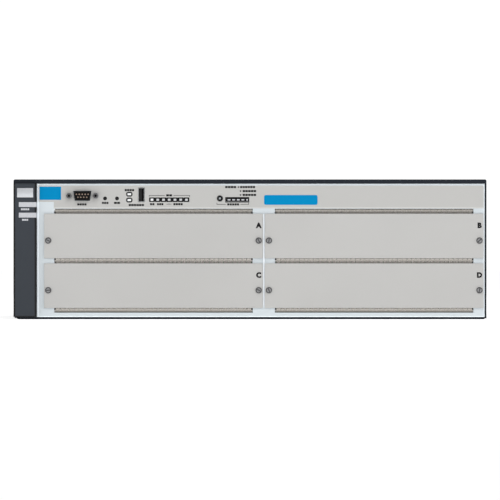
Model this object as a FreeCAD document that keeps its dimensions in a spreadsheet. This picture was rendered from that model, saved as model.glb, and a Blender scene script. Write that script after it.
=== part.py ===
"""A four-slot modular network switch chassis for a 19-inch rack, in millimetres.

+X runs to the right as seen from the front, +Y runs from the front panel back into the chassis and
+Z runs up.  The origin is the centre of the base pan's underside.  Every driving size is a cell of
the sheet named Sizes; places that follow from them are the expressions written in capitals below.
"""
import FreeCAD, Part
import math
import os
import re
import Sketcher

SIZES = (
    ("chassis_wide", 444.5, "width over the cover's sides"),
    ("chassis_high", 131.5, "height over pan and cover"),
    ("chassis_deep", 398.8, "front panel's face to rear panel's face"),
    ("cover_sheet", 1.4, "steel of the outer cover"),
    ("pan_sheet", 1.2, "steel of the base pan"),
    ("panel_sheet", 1.2, "steel of the front and rear panels"),
    ("cage_sheet", 1.2, "steel of the slot cage"),
    ("lip_high", 3.7, "cover's lip over the front panel"),
    ("hem_high", 2.2, "pan's hem under the front panel"),
    ("pan_side_high", 22.0, "pan's side flanges"),
    ("pan_bend_left", 4.5, "outer radius of the pan's left bend"),
    ("pan_bend_right", 1.6, "outer radius of the pan's right bend"),
    ("cover_bend", 1.5, "outer radius of the cover's top bends"),
    ("panel_bend", 1.2, "outer radius of the front panel's bends"),
    ("panel_return", 14.0, "depth of the front panel's return flanges"),
    ("panel_joggle", 6.0, "set-back of the panel behind the bezel"),
    ("edge_gap", 0.25, "clearance between the panel and the cover's side"),
    ("face_gap", 0.1, "clearance round the front panel's face"),
    ("bezel_wide", 21.65, "left bezel, side to side"),
    ("bezel_proud", 4.0, "bezel's face ahead of the panel"),
    ("bezel_set", 4.7, "bezel's rear edge behind the panel's face"),
    ("bezel_wall", 1.8, "bezel's moulded wall"),
    ("bezel_round", 2.2, "bezel's outer edge radius"),
    ("badge_wide", 15.4, "recess in the bezel's face"),
    ("badge_high", 9.0, "recess in the bezel's face"),
    ("badge_sink", 0.6, "depth of that recess"),
    ("badge_drop", 8.8, "bezel's top down to the middle of the recess"),
    ("light_high", 4.6, "height of a bezel light bar"),
    ("light_inset", 5.1, "bezel's left side to a light bar"),
    ("power_drop", 19.9, "bezel's top down to the middle of the power light"),
    ("fault_drop", 29.8, "bezel's top down to the middle of the fault light"),
    ("margin_left", 7.1, "front panel's left edge to the blank plates"),
    ("margin_right", 1.2, "blank plates to the front panel's right edge"),
    ("sill_high", 4.1, "front panel below its apertures"),
    ("strip_high", 23.8, "front panel above its apertures"),
    ("plate_gap", 2.0, "gap between the left and right blank plates"),
    ("row_gap", 5.3, "gap between the upper and lower blank plates"),
    ("rim_gap", 4.75, "gap over and under the blank plates"),
    ("plate_sheet", 1.5, "steel of the blank plates"),
    ("plate_ear", 9.4, "plate's ear over the front panel"),
    ("plate_flange", 8.0, "depth of a plate's return flanges"),
    ("screw_inset", 3.8, "plate's end to its captive screw"),
    ("screw_drop", 4.4, "plate's middle down to its captive screw"),
    ("screw_head", 3.1, "radius of a captive screw's head"),
    ("screw_head_high", 1.8, "height of that head"),
    ("screw_shank", 1.5, "radius of a captive screw's shank"),
    ("screw_long", 7.0, "length of that shank"),
    ("slot_wide", 0.9, "driver slot in a screw"),
    ("slot_deep", 0.8, "driver slot in a screw"),
    ("running_fit", 0.06, "radial clearance of a turning or sliding fit"),
    ("hole_fit", 0.3, "radial clearance of a plain hole"),
    ("nut_wall", 1.6, "wall of a pressed nut"),
    ("nut_long", 2.6, "length of a pressed nut"),
    ("console_in", 42.9, "panel's left edge to the console port"),
    ("console_drop", 11.6, "panel's top to the console port's middle"),
    ("console_wide", 16.6, "D-shaped shell, outside, at its wide side"),
    ("console_high", 8.6, "D-shaped shell, outside"),
    ("console_taper", 1.5, "how much each end of the D narrows"),
    ("console_wall", 0.5, "steel of the D-shaped shell"),
    ("console_proud", 4.6, "shell ahead of the panel"),
    ("pin_pitch", 2.77, "pitch of the console port's pins"),
    ("pin_rise", 1.42, "port's middle up or down to a row of pins"),
    ("pin_half", 0.48, "half across a pin"),
    ("jack_pitch", 24.99, "pitch of the console port's jack screws"),
    ("jack_bore", 1.25, "radius of a jack screw's tapped bore"),
    ("jack_flats", 4.8, "across a jack screw's hexagon"),
    ("jack_long", 4.8, "jack screw ahead of the panel"),
    ("reset_in", 64.3, "panel's left edge to the reset button"),
    ("clear_in", 75.5, "panel's left edge to the clear button"),
    ("button_drop", 14.1, "panel's top to the buttons' middles"),
    ("small_button", 1.4, "radius of the reset and clear buttons"),
    ("mode_in", 172.2, "panel's left edge to the light mode button"),
    ("mode_button", 2.4, "radius of the light mode button"),
    ("button_travel", 1.2, "travel of a button"),
    ("switch_front", 13.5, "panel's face to the switches behind the buttons"),
    ("switch_side", 6.0, "side of such a switch"),
    ("test_in", 87.1, "panel's left edge to the self-test lights"),
    ("test_drop", 10.1, "panel's top to the upper self-test light"),
    ("test_pitch", 5.5, "pitch of the self-test lights"),
    ("light_wide", 3.6, "width of a status light"),
    ("light_tall", 2.2, "height of a status light"),
    ("usb_in", 98.45, "panel's left edge to the USB port"),
    ("usb_drop", 10.65, "panel's top to the USB port's middle"),
    ("usb_wide", 5.7, "USB shell, outside"),
    ("usb_high", 13.1, "USB shell, outside"),
    ("usb_wall", 0.35, "steel of the USB shell"),
    ("status_in", 108.4, "panel's left edge to the first status light"),
    ("status_drop", 15.3, "panel's top to the status lights"),
    ("status_pitch", 5.4, "pitch of the status lights"),
    ("window_in", 188.5, "panel's left edge to the light window's middle"),
    ("window_wide", 21.6, "window of the mode lights"),
    ("window_high", 4.0, "window of the mode lights"),
    ("window_drop", 15.2, "panel's top to that window's middle"),
    ("film_thick", 0.25, "printed film over the management strip"),
    ("film_rim", 2.0, "panel's edge to the film"),
    ("film_over", 0.4, "mouths' tops to the film's lower edge"),
    ("film_step", 6.2, "height of the film's lower left notch"),
    ("film_step_wide", 14.2, "width of that notch"),
    ("slot_depth", 262.0, "panel's face to the backplane"),
    ("shelf_inset", 1.4, "aperture's edge to the slot floor and ceiling"),
    ("wall_inset", 0.7, "aperture's side to the cage wall"),
    ("shelf_flange", 6.0, "turned edges of the shelves and walls"),
    ("rail_wide", 8.0, "card rail, side to side"),
    ("rail_high", 4.6, "card rail's height"),
    ("rail_groove", 2.4, "groove for a card"),
    ("rail_start", 14.0, "panel's face to the card rails"),
    ("rail_long", 238.0, "card rail's length"),
    ("finger_pitch", 15.4, "pitch of the shielding fingers"),
    ("finger_wide", 13.6, "width of one finger"),
    ("finger_start", 2.0, "panel's rear face to the finger strip"),
    ("finger_deep", 6.4, "depth of a finger strip"),
    ("finger_rise", 1.3, "height of a finger's bow"),
    ("finger_sheet", 0.2, "beryllium copper of the fingers"),
    ("board_thick", 1.6, "control board"),
    ("board_rise", 6.0, "stand-off height under the control board"),
    ("standoff_half", 2.75, "half across the flats of a stand-off"),
    ("board_start", 16.0, "panel's face to the control board"),
    ("sink_side", 40.0, "processor's heat sink along a side"),
    ("backplane_thick", 3.2, "backplane board"),
    ("fan_wide", 92.0, "side of a chassis fan"),
    ("fan_deep", 25.0, "thickness of a chassis fan"),
    ("fan_bore", 43.5, "radius of a fan's bore"),
    ("fan_first", 66.0, "panel's face to the first fan's axis"),
    ("fan_pitch", 96.0, "pitch of the chassis fans"),
    ("fan_hub", 17.5, "radius of a fan's hub"),
    ("fan_tip_gap", 1.0, "blade tips to the fan's bore"),
    ("fan_shaft", 1.5, "radius of a fan's shaft"),
    ("vent_wide", 6.0, "width of a vent slot"),
    ("vent_pitch", 14.0, "pitch of the vent slots"),
    ("psu_high", 92.0, "power supply's case"),
    ("psu_deep", 118.0, "power supply's case"),
    ("psu_sheet", 1.2, "steel of the power supply"),
    ("psu_lift", 0.3, "running gap under and beside the power supply"),
    ("psu_ear", 8.5, "power supply's ears over the rear panel"),
    ("psu_fan_wide", 80.0, "side of the power supply's fan"),
    ("bay_side", 0.8, "cage wall's line to the outer side of a bay"),
    ("bay_margin", 16.0, "room between the power supply bays"),
    ("bracket_in", 22.0, "panel's face to the rack bracket's screw holes"),
    ("bracket_pitch", 76.2, "pitch of those holes"),
    ("bracket_low", 27.6, "underside to the lowest of those holes"),
    ("bracket_hole", 2.15, "radius of those holes"),
)
NAMES = {name for name, *_ in SIZES}

doc = FreeCAD.newDocument("ModularChassisSwitch")
sheet = doc.addObject("Spreadsheet::Sheet", "Sizes")
for row, (name, size, meaning) in enumerate(SIZES, 1):
    sheet.set(f"A{row}", name)
    sheet.set(f"B{row}", str(size))
    sheet.set(f"C{row}", meaning)
    sheet.setAlias(f"B{row}", name)
doc.recompute()
NODES = {}
vector = FreeCAD.Vector

# Places that follow from the sizes.
LEFT = "(-chassis_wide/2)"
RIGHT = "(chassis_wide/2)"
FRONT = "(-chassis_deep/2)"
REAR = "(chassis_deep/2)"
IN_LEFT = f"({LEFT} + cover_sheet)"
IN_RIGHT = f"({RIGHT} - cover_sheet)"
PANEL_LEFT = f"({LEFT} + bezel_wide + face_gap)"
PANEL_RIGHT = f"({IN_RIGHT} - edge_gap)"
PANEL_TOP = "(chassis_high - lip_high - face_gap)"
PANEL_BACK = f"({FRONT} + panel_sheet)"
MOUTH_LOW = "(hem_high + sill_high)"
MOUTH_TOP = f"({PANEL_TOP} - strip_high)"
PLATES_LEFT = f"({PANEL_LEFT} + margin_left)"
PLATES_RIGHT = f"({PANEL_RIGHT} - margin_right)"
PLATE_WIDE = f"(({PLATES_RIGHT} - {PLATES_LEFT} - plate_gap)/2)"
PLATE_HIGH = f"(({MOUTH_TOP} - {MOUTH_LOW} - 2*rim_gap - row_gap)/2)"
COLUMN_PITCH = f"({PLATE_WIDE} + plate_gap)"
ROW_PITCH = f"({PLATE_HIGH} + row_gap)"
COLUMN_MID = f"(({PLATES_LEFT} + {PLATES_RIGHT})/2)"
ROW_MID = f"(({MOUTH_LOW} + {MOUTH_TOP})/2)"
COLUMNS = {"left": f"({COLUMN_MID} - {COLUMN_PITCH}/2)", "right": f"({COLUMN_MID} + {COLUMN_PITCH}/2)"}
ROWS = {"upper": f"({ROW_MID} + {ROW_PITCH}/2)", "lower": f"({ROW_MID} - {ROW_PITCH}/2)"}
MOUTH_WIDE = f"({PLATE_WIDE} - 2*plate_ear)"
CAGE_HALF = f"({MOUTH_WIDE}/2 + wall_inset)"
CAGE_LEFT = f"({COLUMNS['left']} - {CAGE_HALF})"
CAGE_RIGHT = f"({COLUMNS['right']} + {CAGE_HALF})"
DIVIDER_LEFT = f"({COLUMNS['left']} + {CAGE_HALF})"
DIVIDER_RIGHT = f"({COLUMNS['right']} - {CAGE_HALF})"
FLOOR_TOP = f"({MOUTH_LOW} + shelf_inset + cage_sheet)"
CEILING_LOW = f"({MOUTH_TOP} - shelf_inset - cage_sheet)"
CEILING_TOP = f"({CEILING_LOW} + cage_sheet)"
BOARD_LOW = f"({CEILING_TOP} + board_rise)"
BOARD_TOP = f"({BOARD_LOW} + board_thick)"
BACKPLANE = f"({FRONT} + slot_depth)"
RAIL_FRONT = f"({FRONT} + rail_start)"
RAIL_BACK = f"({RAIL_FRONT} + rail_long)"
FAN_MID = "(pan_sheet + cage_sheet + 2.6 + fan_wide/2)"
PSU_LOW = "(pan_sheet + psu_lift)"
PSU_FRONT = f"({REAR} - psu_deep)"
BAY_GAP = "(2*psu_lift + cage_sheet + bay_margin)"
PSU_WIDE = f"(({CAGE_RIGHT} - {CAGE_LEFT} - 2*bay_side - {BAY_GAP})/2)"
PSU_HALF = f"({PSU_WIDE}/2)"
BAY_PITCH = f"({PSU_WIDE} + {BAY_GAP})"
PSU_FAN = (f"(-{PSU_HALF} + psu_fan_wide/2 + 8)", "(psu_high/2)")
PSU_INLET = (f"({PSU_HALF} - 34)", "(psu_high/2)")
BAYS = {"left": f"({COLUMN_MID} - {BAY_PITCH}/2)", "right": f"({COLUMN_MID} + {BAY_PITCH}/2)"}


def bound(text):
    """An expression over the sheet, from one that names its sizes alone."""
    return re.sub(r"[a-z]\w+", lambda word: f"Sizes.{word[0]}" if word[0] in NAMES else word[0], str(text))


def number(text):
    """What an expression over the sheet comes to."""
    return float(sheet.evalExpression(bound(text)))


def bind(thing, prop, text):
    """Tie a property to an expression over the sheet."""
    thing.setExpression(prop, bound(text))


def new_body(label, x="0", y="0", z="0"):
    """An empty body, with its placement tied to the sheet."""
    body = doc.addObject("PartDesign::Body", label)
    body.Label = label
    for axis, text in zip("xyz", (x, y, z)):
        if text != "0":
            bind(body, f"Placement.Base.{axis}", text)
    return body


def origin_feature(body, role):
    """One of the body's own planes or axes."""
    return next(item for item in body.Origin.OriginFeatures if item.Role == role)


def new_sketch(body, plane, offset):
    """A sketch on one of the body's planes, moved along that plane's normal."""
    sketch = body.newObject("Sketcher::SketchObject", "Profile")
    sketch.AttachmentSupport = [(origin_feature(body, plane), "")]
    sketch.MapMode = "FlatFace"
    bind(sketch, "AttachmentOffset.Base.z", offset)
    return sketch


def hold(sketch, kind, *what):
    """A driving constraint whose value is tied to the sheet."""
    *where, text = what
    index = sketch.addConstraint(Sketcher.Constraint(kind, *where, number(text)))
    bind(sketch, f"Constraints[{index}]", text)


def outline(*points):
    """A closed outline with straight sides, each corner a pair of expressions."""

    def draw(sketch):
        first = sketch.GeometryCount
        count = len(points)
        places = [vector(number(x), number(y), 0) for x, y in points]
        sides = [Part.LineSegment(places[i], places[(i + 1) % count]) for i in range(count)]
        sketch.addGeometry(sides)
        joins = [Sketcher.Constraint("Coincident", first + i, 2, first + (i + 1) % count, 1)
                 for i in range(count)]
        sketch.addConstraint(joins)
        for i, (x, y) in enumerate(points):
            hold(sketch, "DistanceX", -1, 1, first + i, 1, x)
            hold(sketch, "DistanceY", -1, 1, first + i, 1, y)

    return draw


def box(x_low, y_low, x_high, y_high):
    """A rectangle between two corners."""

    def draw(sketch):
        first = sketch.GeometryCount
        low = vector(number(x_low), number(y_low), 0)
        high = vector(number(x_high), number(y_high), 0)
        corners = [low, vector(high.x, low.y, 0), high, vector(low.x, high.y, 0)]
        sketch.addGeometry([Part.LineSegment(corners[i], corners[(i + 1) % 4]) for i in range(4)])
        rules = [Sketcher.Constraint("Coincident", first + i, 2, first + (i + 1) % 4, 1) for i in range(4)]
        rules += [Sketcher.Constraint("Horizontal", first), Sketcher.Constraint("Horizontal", first + 2)]
        rules += [Sketcher.Constraint("Vertical", first + 1), Sketcher.Constraint("Vertical", first + 3)]
        sketch.addConstraint(rules)
        for side, x, y in ((0, x_low, y_low), (2, x_high, y_high)):
            hold(sketch, "DistanceX", -1, 1, first + side, 1, x)
            hold(sketch, "DistanceY", -1, 1, first + side, 1, y)

    return draw


def middle_box(x, y, wide, high):
    """A rectangle about a middle point."""
    return box(f"{x} - {wide}/2", f"{y} - {high}/2", f"{x} + {wide}/2", f"{y} + {high}/2")


def ring(x, y, radius):
    """A circle."""

    def draw(sketch):
        centre = vector(number(x), number(y), 0)
        index = sketch.addGeometry(Part.Circle(centre, vector(0, 0, 1), number(radius)))
        hold(sketch, "Radius", index, radius)
        hold(sketch, "DistanceX", -1, 1, index, 3, x)
        hold(sketch, "DistanceY", -1, 1, index, 3, y)

    return draw


def add(body, plane, low, high, *shapes):
    """Grow the body by shapes drawn on a plane, from one place on its axis to a higher one."""
    facing_back = plane == "XZ_Plane"
    sketch = new_sketch(body, plane, f"-({high})" if facing_back else low)
    for shape in shapes:
        shape(sketch)
    feature = body.newObject("PartDesign::Pad", "Pad")
    feature.Profile = sketch
    bind(feature, "Length", f"{high} - ({low})")
    body.Tip = feature
    return feature


def cut(body, plane, low, high, *shapes):
    """Cut shapes drawn on a plane out of the body, from one place on its axis to a higher one."""
    facing_back = plane == "XZ_Plane"
    sketch = new_sketch(body, plane, f"-({low})" if facing_back else high)
    for shape in shapes:
        shape(sketch)
    feature = body.newObject("PartDesign::Pocket", "Pocket")
    feature.Profile = sketch
    bind(feature, "Length", f"{high} - ({low})")
    body.Tip = feature
    return feature


def prism(body, kind, plane, low, high, radius, sides, x="0", y="0"):
    """A regular prism along a plane's normal, with its corners on a circle about a place on the plane."""
    feature = body.newObject(f"PartDesign::{kind}Prism", "Prism")
    feature.AttachmentSupport = [(origin_feature(body, plane), "")]
    feature.MapMode = "FlatFace"
    feature.Polygon = sides
    facing_back = plane == "XZ_Plane"
    for axis, text in zip("xyz", (x, y, f"-({high})" if facing_back else low)):
        bind(feature, f"AttachmentOffset.Base.{axis}", text)
    bind(feature, "Circumradius", radius)
    bind(feature, "Height", f"{high} - ({low})")
    body.Tip = feature
    return feature


def post(body, plane, low, high, radius, sides, x="0", y="0"):
    """Grow the body by a regular prism."""
    return prism(body, "Additive", plane, low, high, radius, sides, x, y)


def nut(body, plane, low, high, half, x="0", y="0"):
    """Grow the body by a hexagon with level flats, by half the distance across them."""
    return post(body, plane, low, high, f"{half}*2/sqrt(3)", 6, x, y)


def bore(body, plane, low, high, radius, x="0", y="0", sides=8):
    """Cut a small plain hole whose flats touch its circle."""
    return prism(body, "Subtractive", plane, low, high, f"({radius})/{math.cos(math.pi / sides):.6f}",
                 sides, x, y)


def row_of(body, features, axis, step, count):
    """Repeat features along one of the body's axes."""
    pattern = body.newObject("PartDesign::LinearPattern", "Row")
    pattern.Originals = features
    pattern.Direction = (origin_feature(body, axis), [""])
    pattern.Mode = "Spacing"
    bind(pattern, "Offset", step)
    bind(pattern, "Occurrences", count)
    body.Tip = pattern
    return pattern


def edges_along(shape, axis, places):
    """Names of the straight edges along an axis, at pairs of places on the other two axes."""
    across = [name for name in "XYZ" if name != axis]
    found = []
    for index, edge in enumerate(shape.Edges, 1):
        span = edge.BoundBox
        if max(getattr(span, f"{name}Length") for name in across) > 1e-4:
            continue
        here = [getattr(span.Center, name.lower()) for name in across]
        if any(abs(here[0] - a) < 1e-3 and abs(here[1] - b) < 1e-3 for a, b in places):
            found.append(f"Edge{index}")
    return found


def bend(body, radius, axis, *places):
    """Round the straight edges that run along an axis at pairs of expressions."""
    doc.recompute()
    spots = [(number(a), number(b)) for a, b in places]
    base = body.Tip
    names = edges_along(base.Shape, axis, spots)
    feature = body.newObject("PartDesign::Fillet", "Bend")
    feature.Base = (base, names)
    bind(feature, "Radius", radius)
    body.Tip = feature
    return feature


def bevel(body, plane, low, high, x, y, to_x, to_y):
    """Take a corner off along a plane's normal: the corner's place and how far it goes each way."""
    cut(body, plane, low, high, outline((x, y), (f"{x} + {to_x}", y), (x, f"{y} + {to_y}")))


def node(label, thing):
    """List a finished piece for export."""
    NODES[label] = thing
    return thing


def group(label, pieces):
    """One node of separate like solids."""
    compound = doc.addObject("Part::Compound", label)
    compound.Label = label
    compound.Links = pieces
    return node(label, compound)


def make_base_pan():
    """The folded bottom pan: floor, side flanges inside the cover and a hem under the front panel."""
    body = new_body("base_pan")
    profile = outline(
        (IN_LEFT, "0"), (IN_RIGHT, "0"), (IN_RIGHT, "pan_side_high"),
        (f"{IN_RIGHT} - pan_sheet", "pan_side_high"), (f"{IN_RIGHT} - pan_sheet", "pan_sheet"),
        (f"{IN_LEFT} + pan_sheet", "pan_sheet"), (f"{IN_LEFT} + pan_sheet", "pan_side_high"),
        (IN_LEFT, "pan_side_high"))
    add(body, "XZ_Plane", FRONT, f"{REAR} - panel_sheet", profile)
    bend(body, "pan_bend_left", "Y", (IN_LEFT, "0"))
    bend(body, "pan_bend_right", "Y", (IN_RIGHT, "0"))
    bend(body, "pan_bend_left - pan_sheet", "Y", (f"{IN_LEFT} + pan_sheet", "pan_sheet"))
    hem = box(f"{IN_LEFT} + pan_bend_left", "pan_sheet", f"{IN_RIGHT} - pan_bend_right", "hem_high")
    add(body, "XZ_Plane", FRONT, PANEL_BACK, hem)
    room = f"({FRONT} + panel_return + edge_gap)"
    cut(body, "XZ_Plane", FRONT, room,
        box(f"{LEFT} - 1", "hem_high", f"{IN_LEFT} + pan_bend_left + 1", "pan_side_high + 1"),
        box(f"{IN_RIGHT} - pan_bend_left - 1", "hem_high", f"{RIGHT} + 1", "pan_side_high + 1"))
    return node("base_pan", body)


def make_outer_cover():
    """The wrapped cover: top, sides and a lip turned down over the front panel."""
    body = new_body("outer_cover")
    inner_top = "(chassis_high - cover_sheet)"
    profile = outline(
        (LEFT, "0.8*pan_sheet"), (IN_LEFT, "0.8*pan_sheet"), (IN_LEFT, inner_top), (IN_RIGHT, inner_top),
        (IN_RIGHT, "0.8*pan_sheet"), (RIGHT, "0.8*pan_sheet"), (RIGHT, "chassis_high"),
        (LEFT, "chassis_high"))
    add(body, "XZ_Plane", FRONT, REAR, profile)
    bend(body, "cover_bend", "Y", (LEFT, "chassis_high"), (RIGHT, "chassis_high"))
    lip = box(IN_LEFT, "chassis_high - lip_high", IN_RIGHT, inner_top)
    add(body, "XZ_Plane", FRONT, f"{FRONT} + cover_sheet", lip)
    bevel(body, "YZ_Plane", f"{LEFT} - 1", f"{RIGHT} + 1", FRONT, "chassis_high",
          "(cover_sheet/2)", "(-cover_sheet/2)")
    room = box(f"{LEFT} - 1", "0", f"{IN_LEFT} + 1", PANEL_TOP)
    cut(body, "XZ_Plane", FRONT, f"{FRONT} + bezel_set + face_gap", room)
    notch = box(f"{LEFT} - 1", "0", f"{IN_LEFT} + 1", "3")
    cut(body, "XZ_Plane", FRONT, f"{FRONT} + 27", notch)
    for low, high in ((f"{LEFT} - 1", f"{IN_LEFT} + 1"), (f"{IN_RIGHT} - 1", f"{RIGHT} + 1")):
        vents_in_side(body, low, high)
        cut(body, "YZ_Plane", low, high, *[
            ring(f"{FRONT} + bracket_in", f"bracket_low + {step}*bracket_pitch", "bracket_hole")
            for step in range(2)])
    return node("outer_cover", body)


def vents_in_side(body, low, high):
    """Columns of vent slots in one side of the cover, one group over each chassis fan."""
    for place in range(3):
        start = f"({FRONT} + fan_first + {place}*fan_pitch - 2*vent_pitch)"
        slot = box(f"{start} - vent_wide/2", "14", f"{start} + vent_wide/2", "fan_wide - 4")
        first = cut(body, "YZ_Plane", low, high, slot)
        row_of(body, [first], "Y_Axis", "vent_pitch", "5")


def make_front_panel():
    """The folded front panel: two tall mouths, returns all round and a set-back tongue for the bezel."""
    body = new_body("front_panel")
    back = f"({FRONT} + panel_return)"
    joggle = f"({FRONT} + panel_joggle)"
    tongue = f"({IN_LEFT} + edge_gap)"
    profile = outline(
        (PANEL_LEFT, FRONT), (PANEL_RIGHT, FRONT), (PANEL_RIGHT, back),
        (f"{PANEL_RIGHT} - panel_sheet", back), (f"{PANEL_RIGHT} - panel_sheet", PANEL_BACK),
        (f"{PANEL_LEFT} + panel_sheet", PANEL_BACK), (f"{PANEL_LEFT} + panel_sheet", joggle),
        (tongue, joggle), (tongue, f"{joggle} - panel_sheet"),
        (PANEL_LEFT, f"{joggle} - panel_sheet"))
    add(body, "XY_Plane", "hem_high", PANEL_TOP, profile)
    add(body, "YZ_Plane", f"{PANEL_LEFT} + panel_sheet", f"{PANEL_RIGHT} - panel_sheet",
                   box(PANEL_BACK, f"{PANEL_TOP} - panel_sheet", back, PANEL_TOP))
    bend(body, "panel_bend", "X", (FRONT, PANEL_TOP))
    for x, inward in ((PANEL_LEFT, "(0.5*panel_bend)"), (PANEL_RIGHT, "(-0.5*panel_bend)")):
        bevel(body, "XY_Plane", "hem_high", PANEL_TOP, x, FRONT, inward, "(0.5*panel_bend)")
    mouths = [middle_box(x, ROW_MID, MOUTH_WIDE, f"({MOUTH_TOP} - {MOUTH_LOW})") for x in COLUMNS.values()]
    cut(body, "XZ_Plane", FRONT, PANEL_BACK, *mouths)
    nut_back = f"{PANEL_BACK} + nut_long"
    for x, z in screw_places():
        nut(body, "XZ_Plane", PANEL_BACK, nut_back, "(screw_shank + running_fit + nut_wall)", x, z)
        bore(body, "XZ_Plane", FRONT, nut_back, "screw_shank + running_fit", x, z)
    cut_strip_holes(body, FRONT, PANEL_BACK, "0")
    x, z = strip_place("console_in", "console_drop")
    for sign in "-+":
        bore(body, "XZ_Plane", FRONT, PANEL_BACK, "jack_bore + 0.45", f"{x} {sign} jack_pitch/2", z)
    return node("front_panel", body)


def screw_places():
    """Middles of the captive screws of the four blank plates."""
    reach = f"({PLATE_WIDE}/2 - screw_inset)"
    return [(f"({x} {sign} {reach})", f"({z} - screw_drop)")
            for z in ROWS.values() for x in COLUMNS.values() for sign in "-+"]


def strip_place(across, drop):
    """A place on the management strip, from the panel's left edge and its top."""
    return f"({PANEL_LEFT} + {across})", f"({PANEL_TOP} - {drop})"


def console_outline(grow):
    """The console port's D, wider at its top."""
    x, z = strip_place("console_in", "console_drop")
    top, low = f"(console_wide/2 + {grow})", f"(console_wide/2 - console_taper + {grow})"
    high = f"(console_high/2 + {grow})"
    return outline((f"{x} - {low}", f"{z} - {high}"), (f"{x} + {low}", f"{z} - {high}"),
                   (f"{x} + {top}", f"{z} + {high}"), (f"{x} - {top}", f"{z} + {high}"))


def console_corners(grow):
    """The corners of that D, for its rounded edges."""
    x, z = strip_place("console_in", "console_drop")
    top, low = f"(console_wide/2 + {grow})", f"(console_wide/2 - console_taper + {grow})"
    high = f"(console_high/2 + {grow})"
    return [(f"{x} {side} {half}", f"{z} {level} {high}")
            for side in "-+" for half, level in ((low, "-"), (top, "+"))]


def cut_strip_holes(body, low, high, grow):
    """Openings of the management strip for ports, buttons and lights."""
    test_x, test_z = strip_place("test_in", "test_drop")
    cut(body, "XZ_Plane", low, high, console_outline(f"hole_fit + {grow}"),
        middle_box(*strip_place("usb_in", "usb_drop"),
                   f"(usb_wide + 2*hole_fit + {grow})", f"(usb_high + 2*hole_fit + {grow})"),
        middle_box(*strip_place("window_in", "window_drop"),
                   f"(window_wide + {grow})", f"(window_high + {grow})"),
        *[middle_box(test_x, f"({test_z} - {step}*test_pitch)",
                     f"(light_wide + {grow})", f"(light_tall + {grow})") for step in (0, 1)])
    for place, radius in (("reset_in", "small_button"), ("clear_in", "small_button"),
                          ("mode_in", "mode_button")):
        bore(body, "XZ_Plane", low, high, f"{radius} + running_fit + {grow}",
             *strip_place(place, "button_drop"), sides=16)
    x, z = strip_place("status_in", "status_drop")
    first = cut(body, "XZ_Plane", low, high, middle_box(x, z, "(0.7*light_wide)", "light_tall"))
    row_of(body, [first], "X_Axis", "status_pitch", "7")


def make_management_film():
    """The printed film on the management strip, cut out for each port and light."""
    body = new_body("management_film")
    left, right = f"({PANEL_LEFT} + film_rim)", f"({PANEL_RIGHT} - film_rim/2)"
    low, top = f"({MOUTH_TOP} + film_over)", f"({PANEL_TOP} - film_rim)"
    step_x, step_z = f"({left} + film_step_wide)", f"({low} + film_step)"
    face = f"({FRONT} - film_thick)"
    add(body, "XZ_Plane", face, FRONT, outline(
        (step_x, low), (right, low), (right, top), (left, top), (left, step_z), (step_x, step_z)))
    cut_strip_holes(body, face, FRONT, "0.2")
    x, z = strip_place("console_in", "console_drop")
    for sign in "-+":
        bore(body, "XZ_Plane", face, FRONT, "jack_flats/2 + 0.2", f"{x} {sign} jack_pitch/2", z, sides=6)
    return node("management_film", body)


def make_console_port():
    """The nine-way D connector: steel shell, moulded insert, pins and two jack screws."""
    x, z = strip_place("console_in", "console_drop")
    flange_back = f"({PANEL_BACK} + 1)"
    shell = new_body("console_port_shell")
    add(shell, "XZ_Plane", PANEL_BACK, flange_back, middle_box(x, z, "(jack_pitch + 5.8)", "12.5"))
    add(shell, "XZ_Plane", f"{FRONT} - console_proud", PANEL_BACK, console_outline("0"))
    cut(shell, "XZ_Plane", f"{FRONT} - console_proud", flange_back, console_outline("-console_wall"))
    bend(shell, "2.4 - console_wall", "Y", *console_corners("-console_wall"))
    bend(shell, "2.4", "Y", *console_corners("0"))
    for sign in "-+":
        bore(shell, "XZ_Plane", PANEL_BACK, flange_back, "jack_bore + 0.35",
             f"{x} {sign} jack_pitch/2", z, sides=6)
    node("console_port_shell", shell)

    insert = new_body("console_port_insert")
    seat = f"({FRONT} + 1.5)"
    add(insert, "XZ_Plane", seat, flange_back, console_outline("-console_wall - 0.02"))
    bend(insert, "2.4 - console_wall", "Y", *console_corners("-console_wall - 0.02"))
    housing = box(f"{x} - 15", BOARD_TOP, f"{x} + 15", f"{z} + 6")
    add(insert, "XZ_Plane", flange_back, f"({FRONT} + board_start + 3)", housing)
    node("console_port_insert", insert)

    pins = new_body("console_port_pins")
    tips = f"({FRONT} - console_proud + 1.2)"
    for count, sign in ((5, "+"), (4, "-")):
        first = nut(pins, "XZ_Plane", tips, seat, "pin_half",
                    f"{x} - {count - 1}*pin_pitch/2", f"{z} {sign} pin_rise")
        row_of(pins, [first], "X_Axis", "pin_pitch", str(count))
    node("console_port_pins", pins)

    jacks = []
    for sign in "-+":
        jack = new_body(f"jack_{'left' if sign == '-' else 'right'}", f"{x} {sign} jack_pitch/2", FRONT, z)
        nut(jack, "XZ_Plane", "-jack_long", "0", "jack_flats/2")
        nut(jack, "XZ_Plane", "0", "panel_sheet + 1", "(jack_bore + 0.2)")
        cut(jack, "XZ_Plane", "-jack_long", "panel_sheet + 1", ring("0", "0", "jack_bore"))
        jacks.append(jack)
    group("console_jackscrews", jacks)


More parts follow.
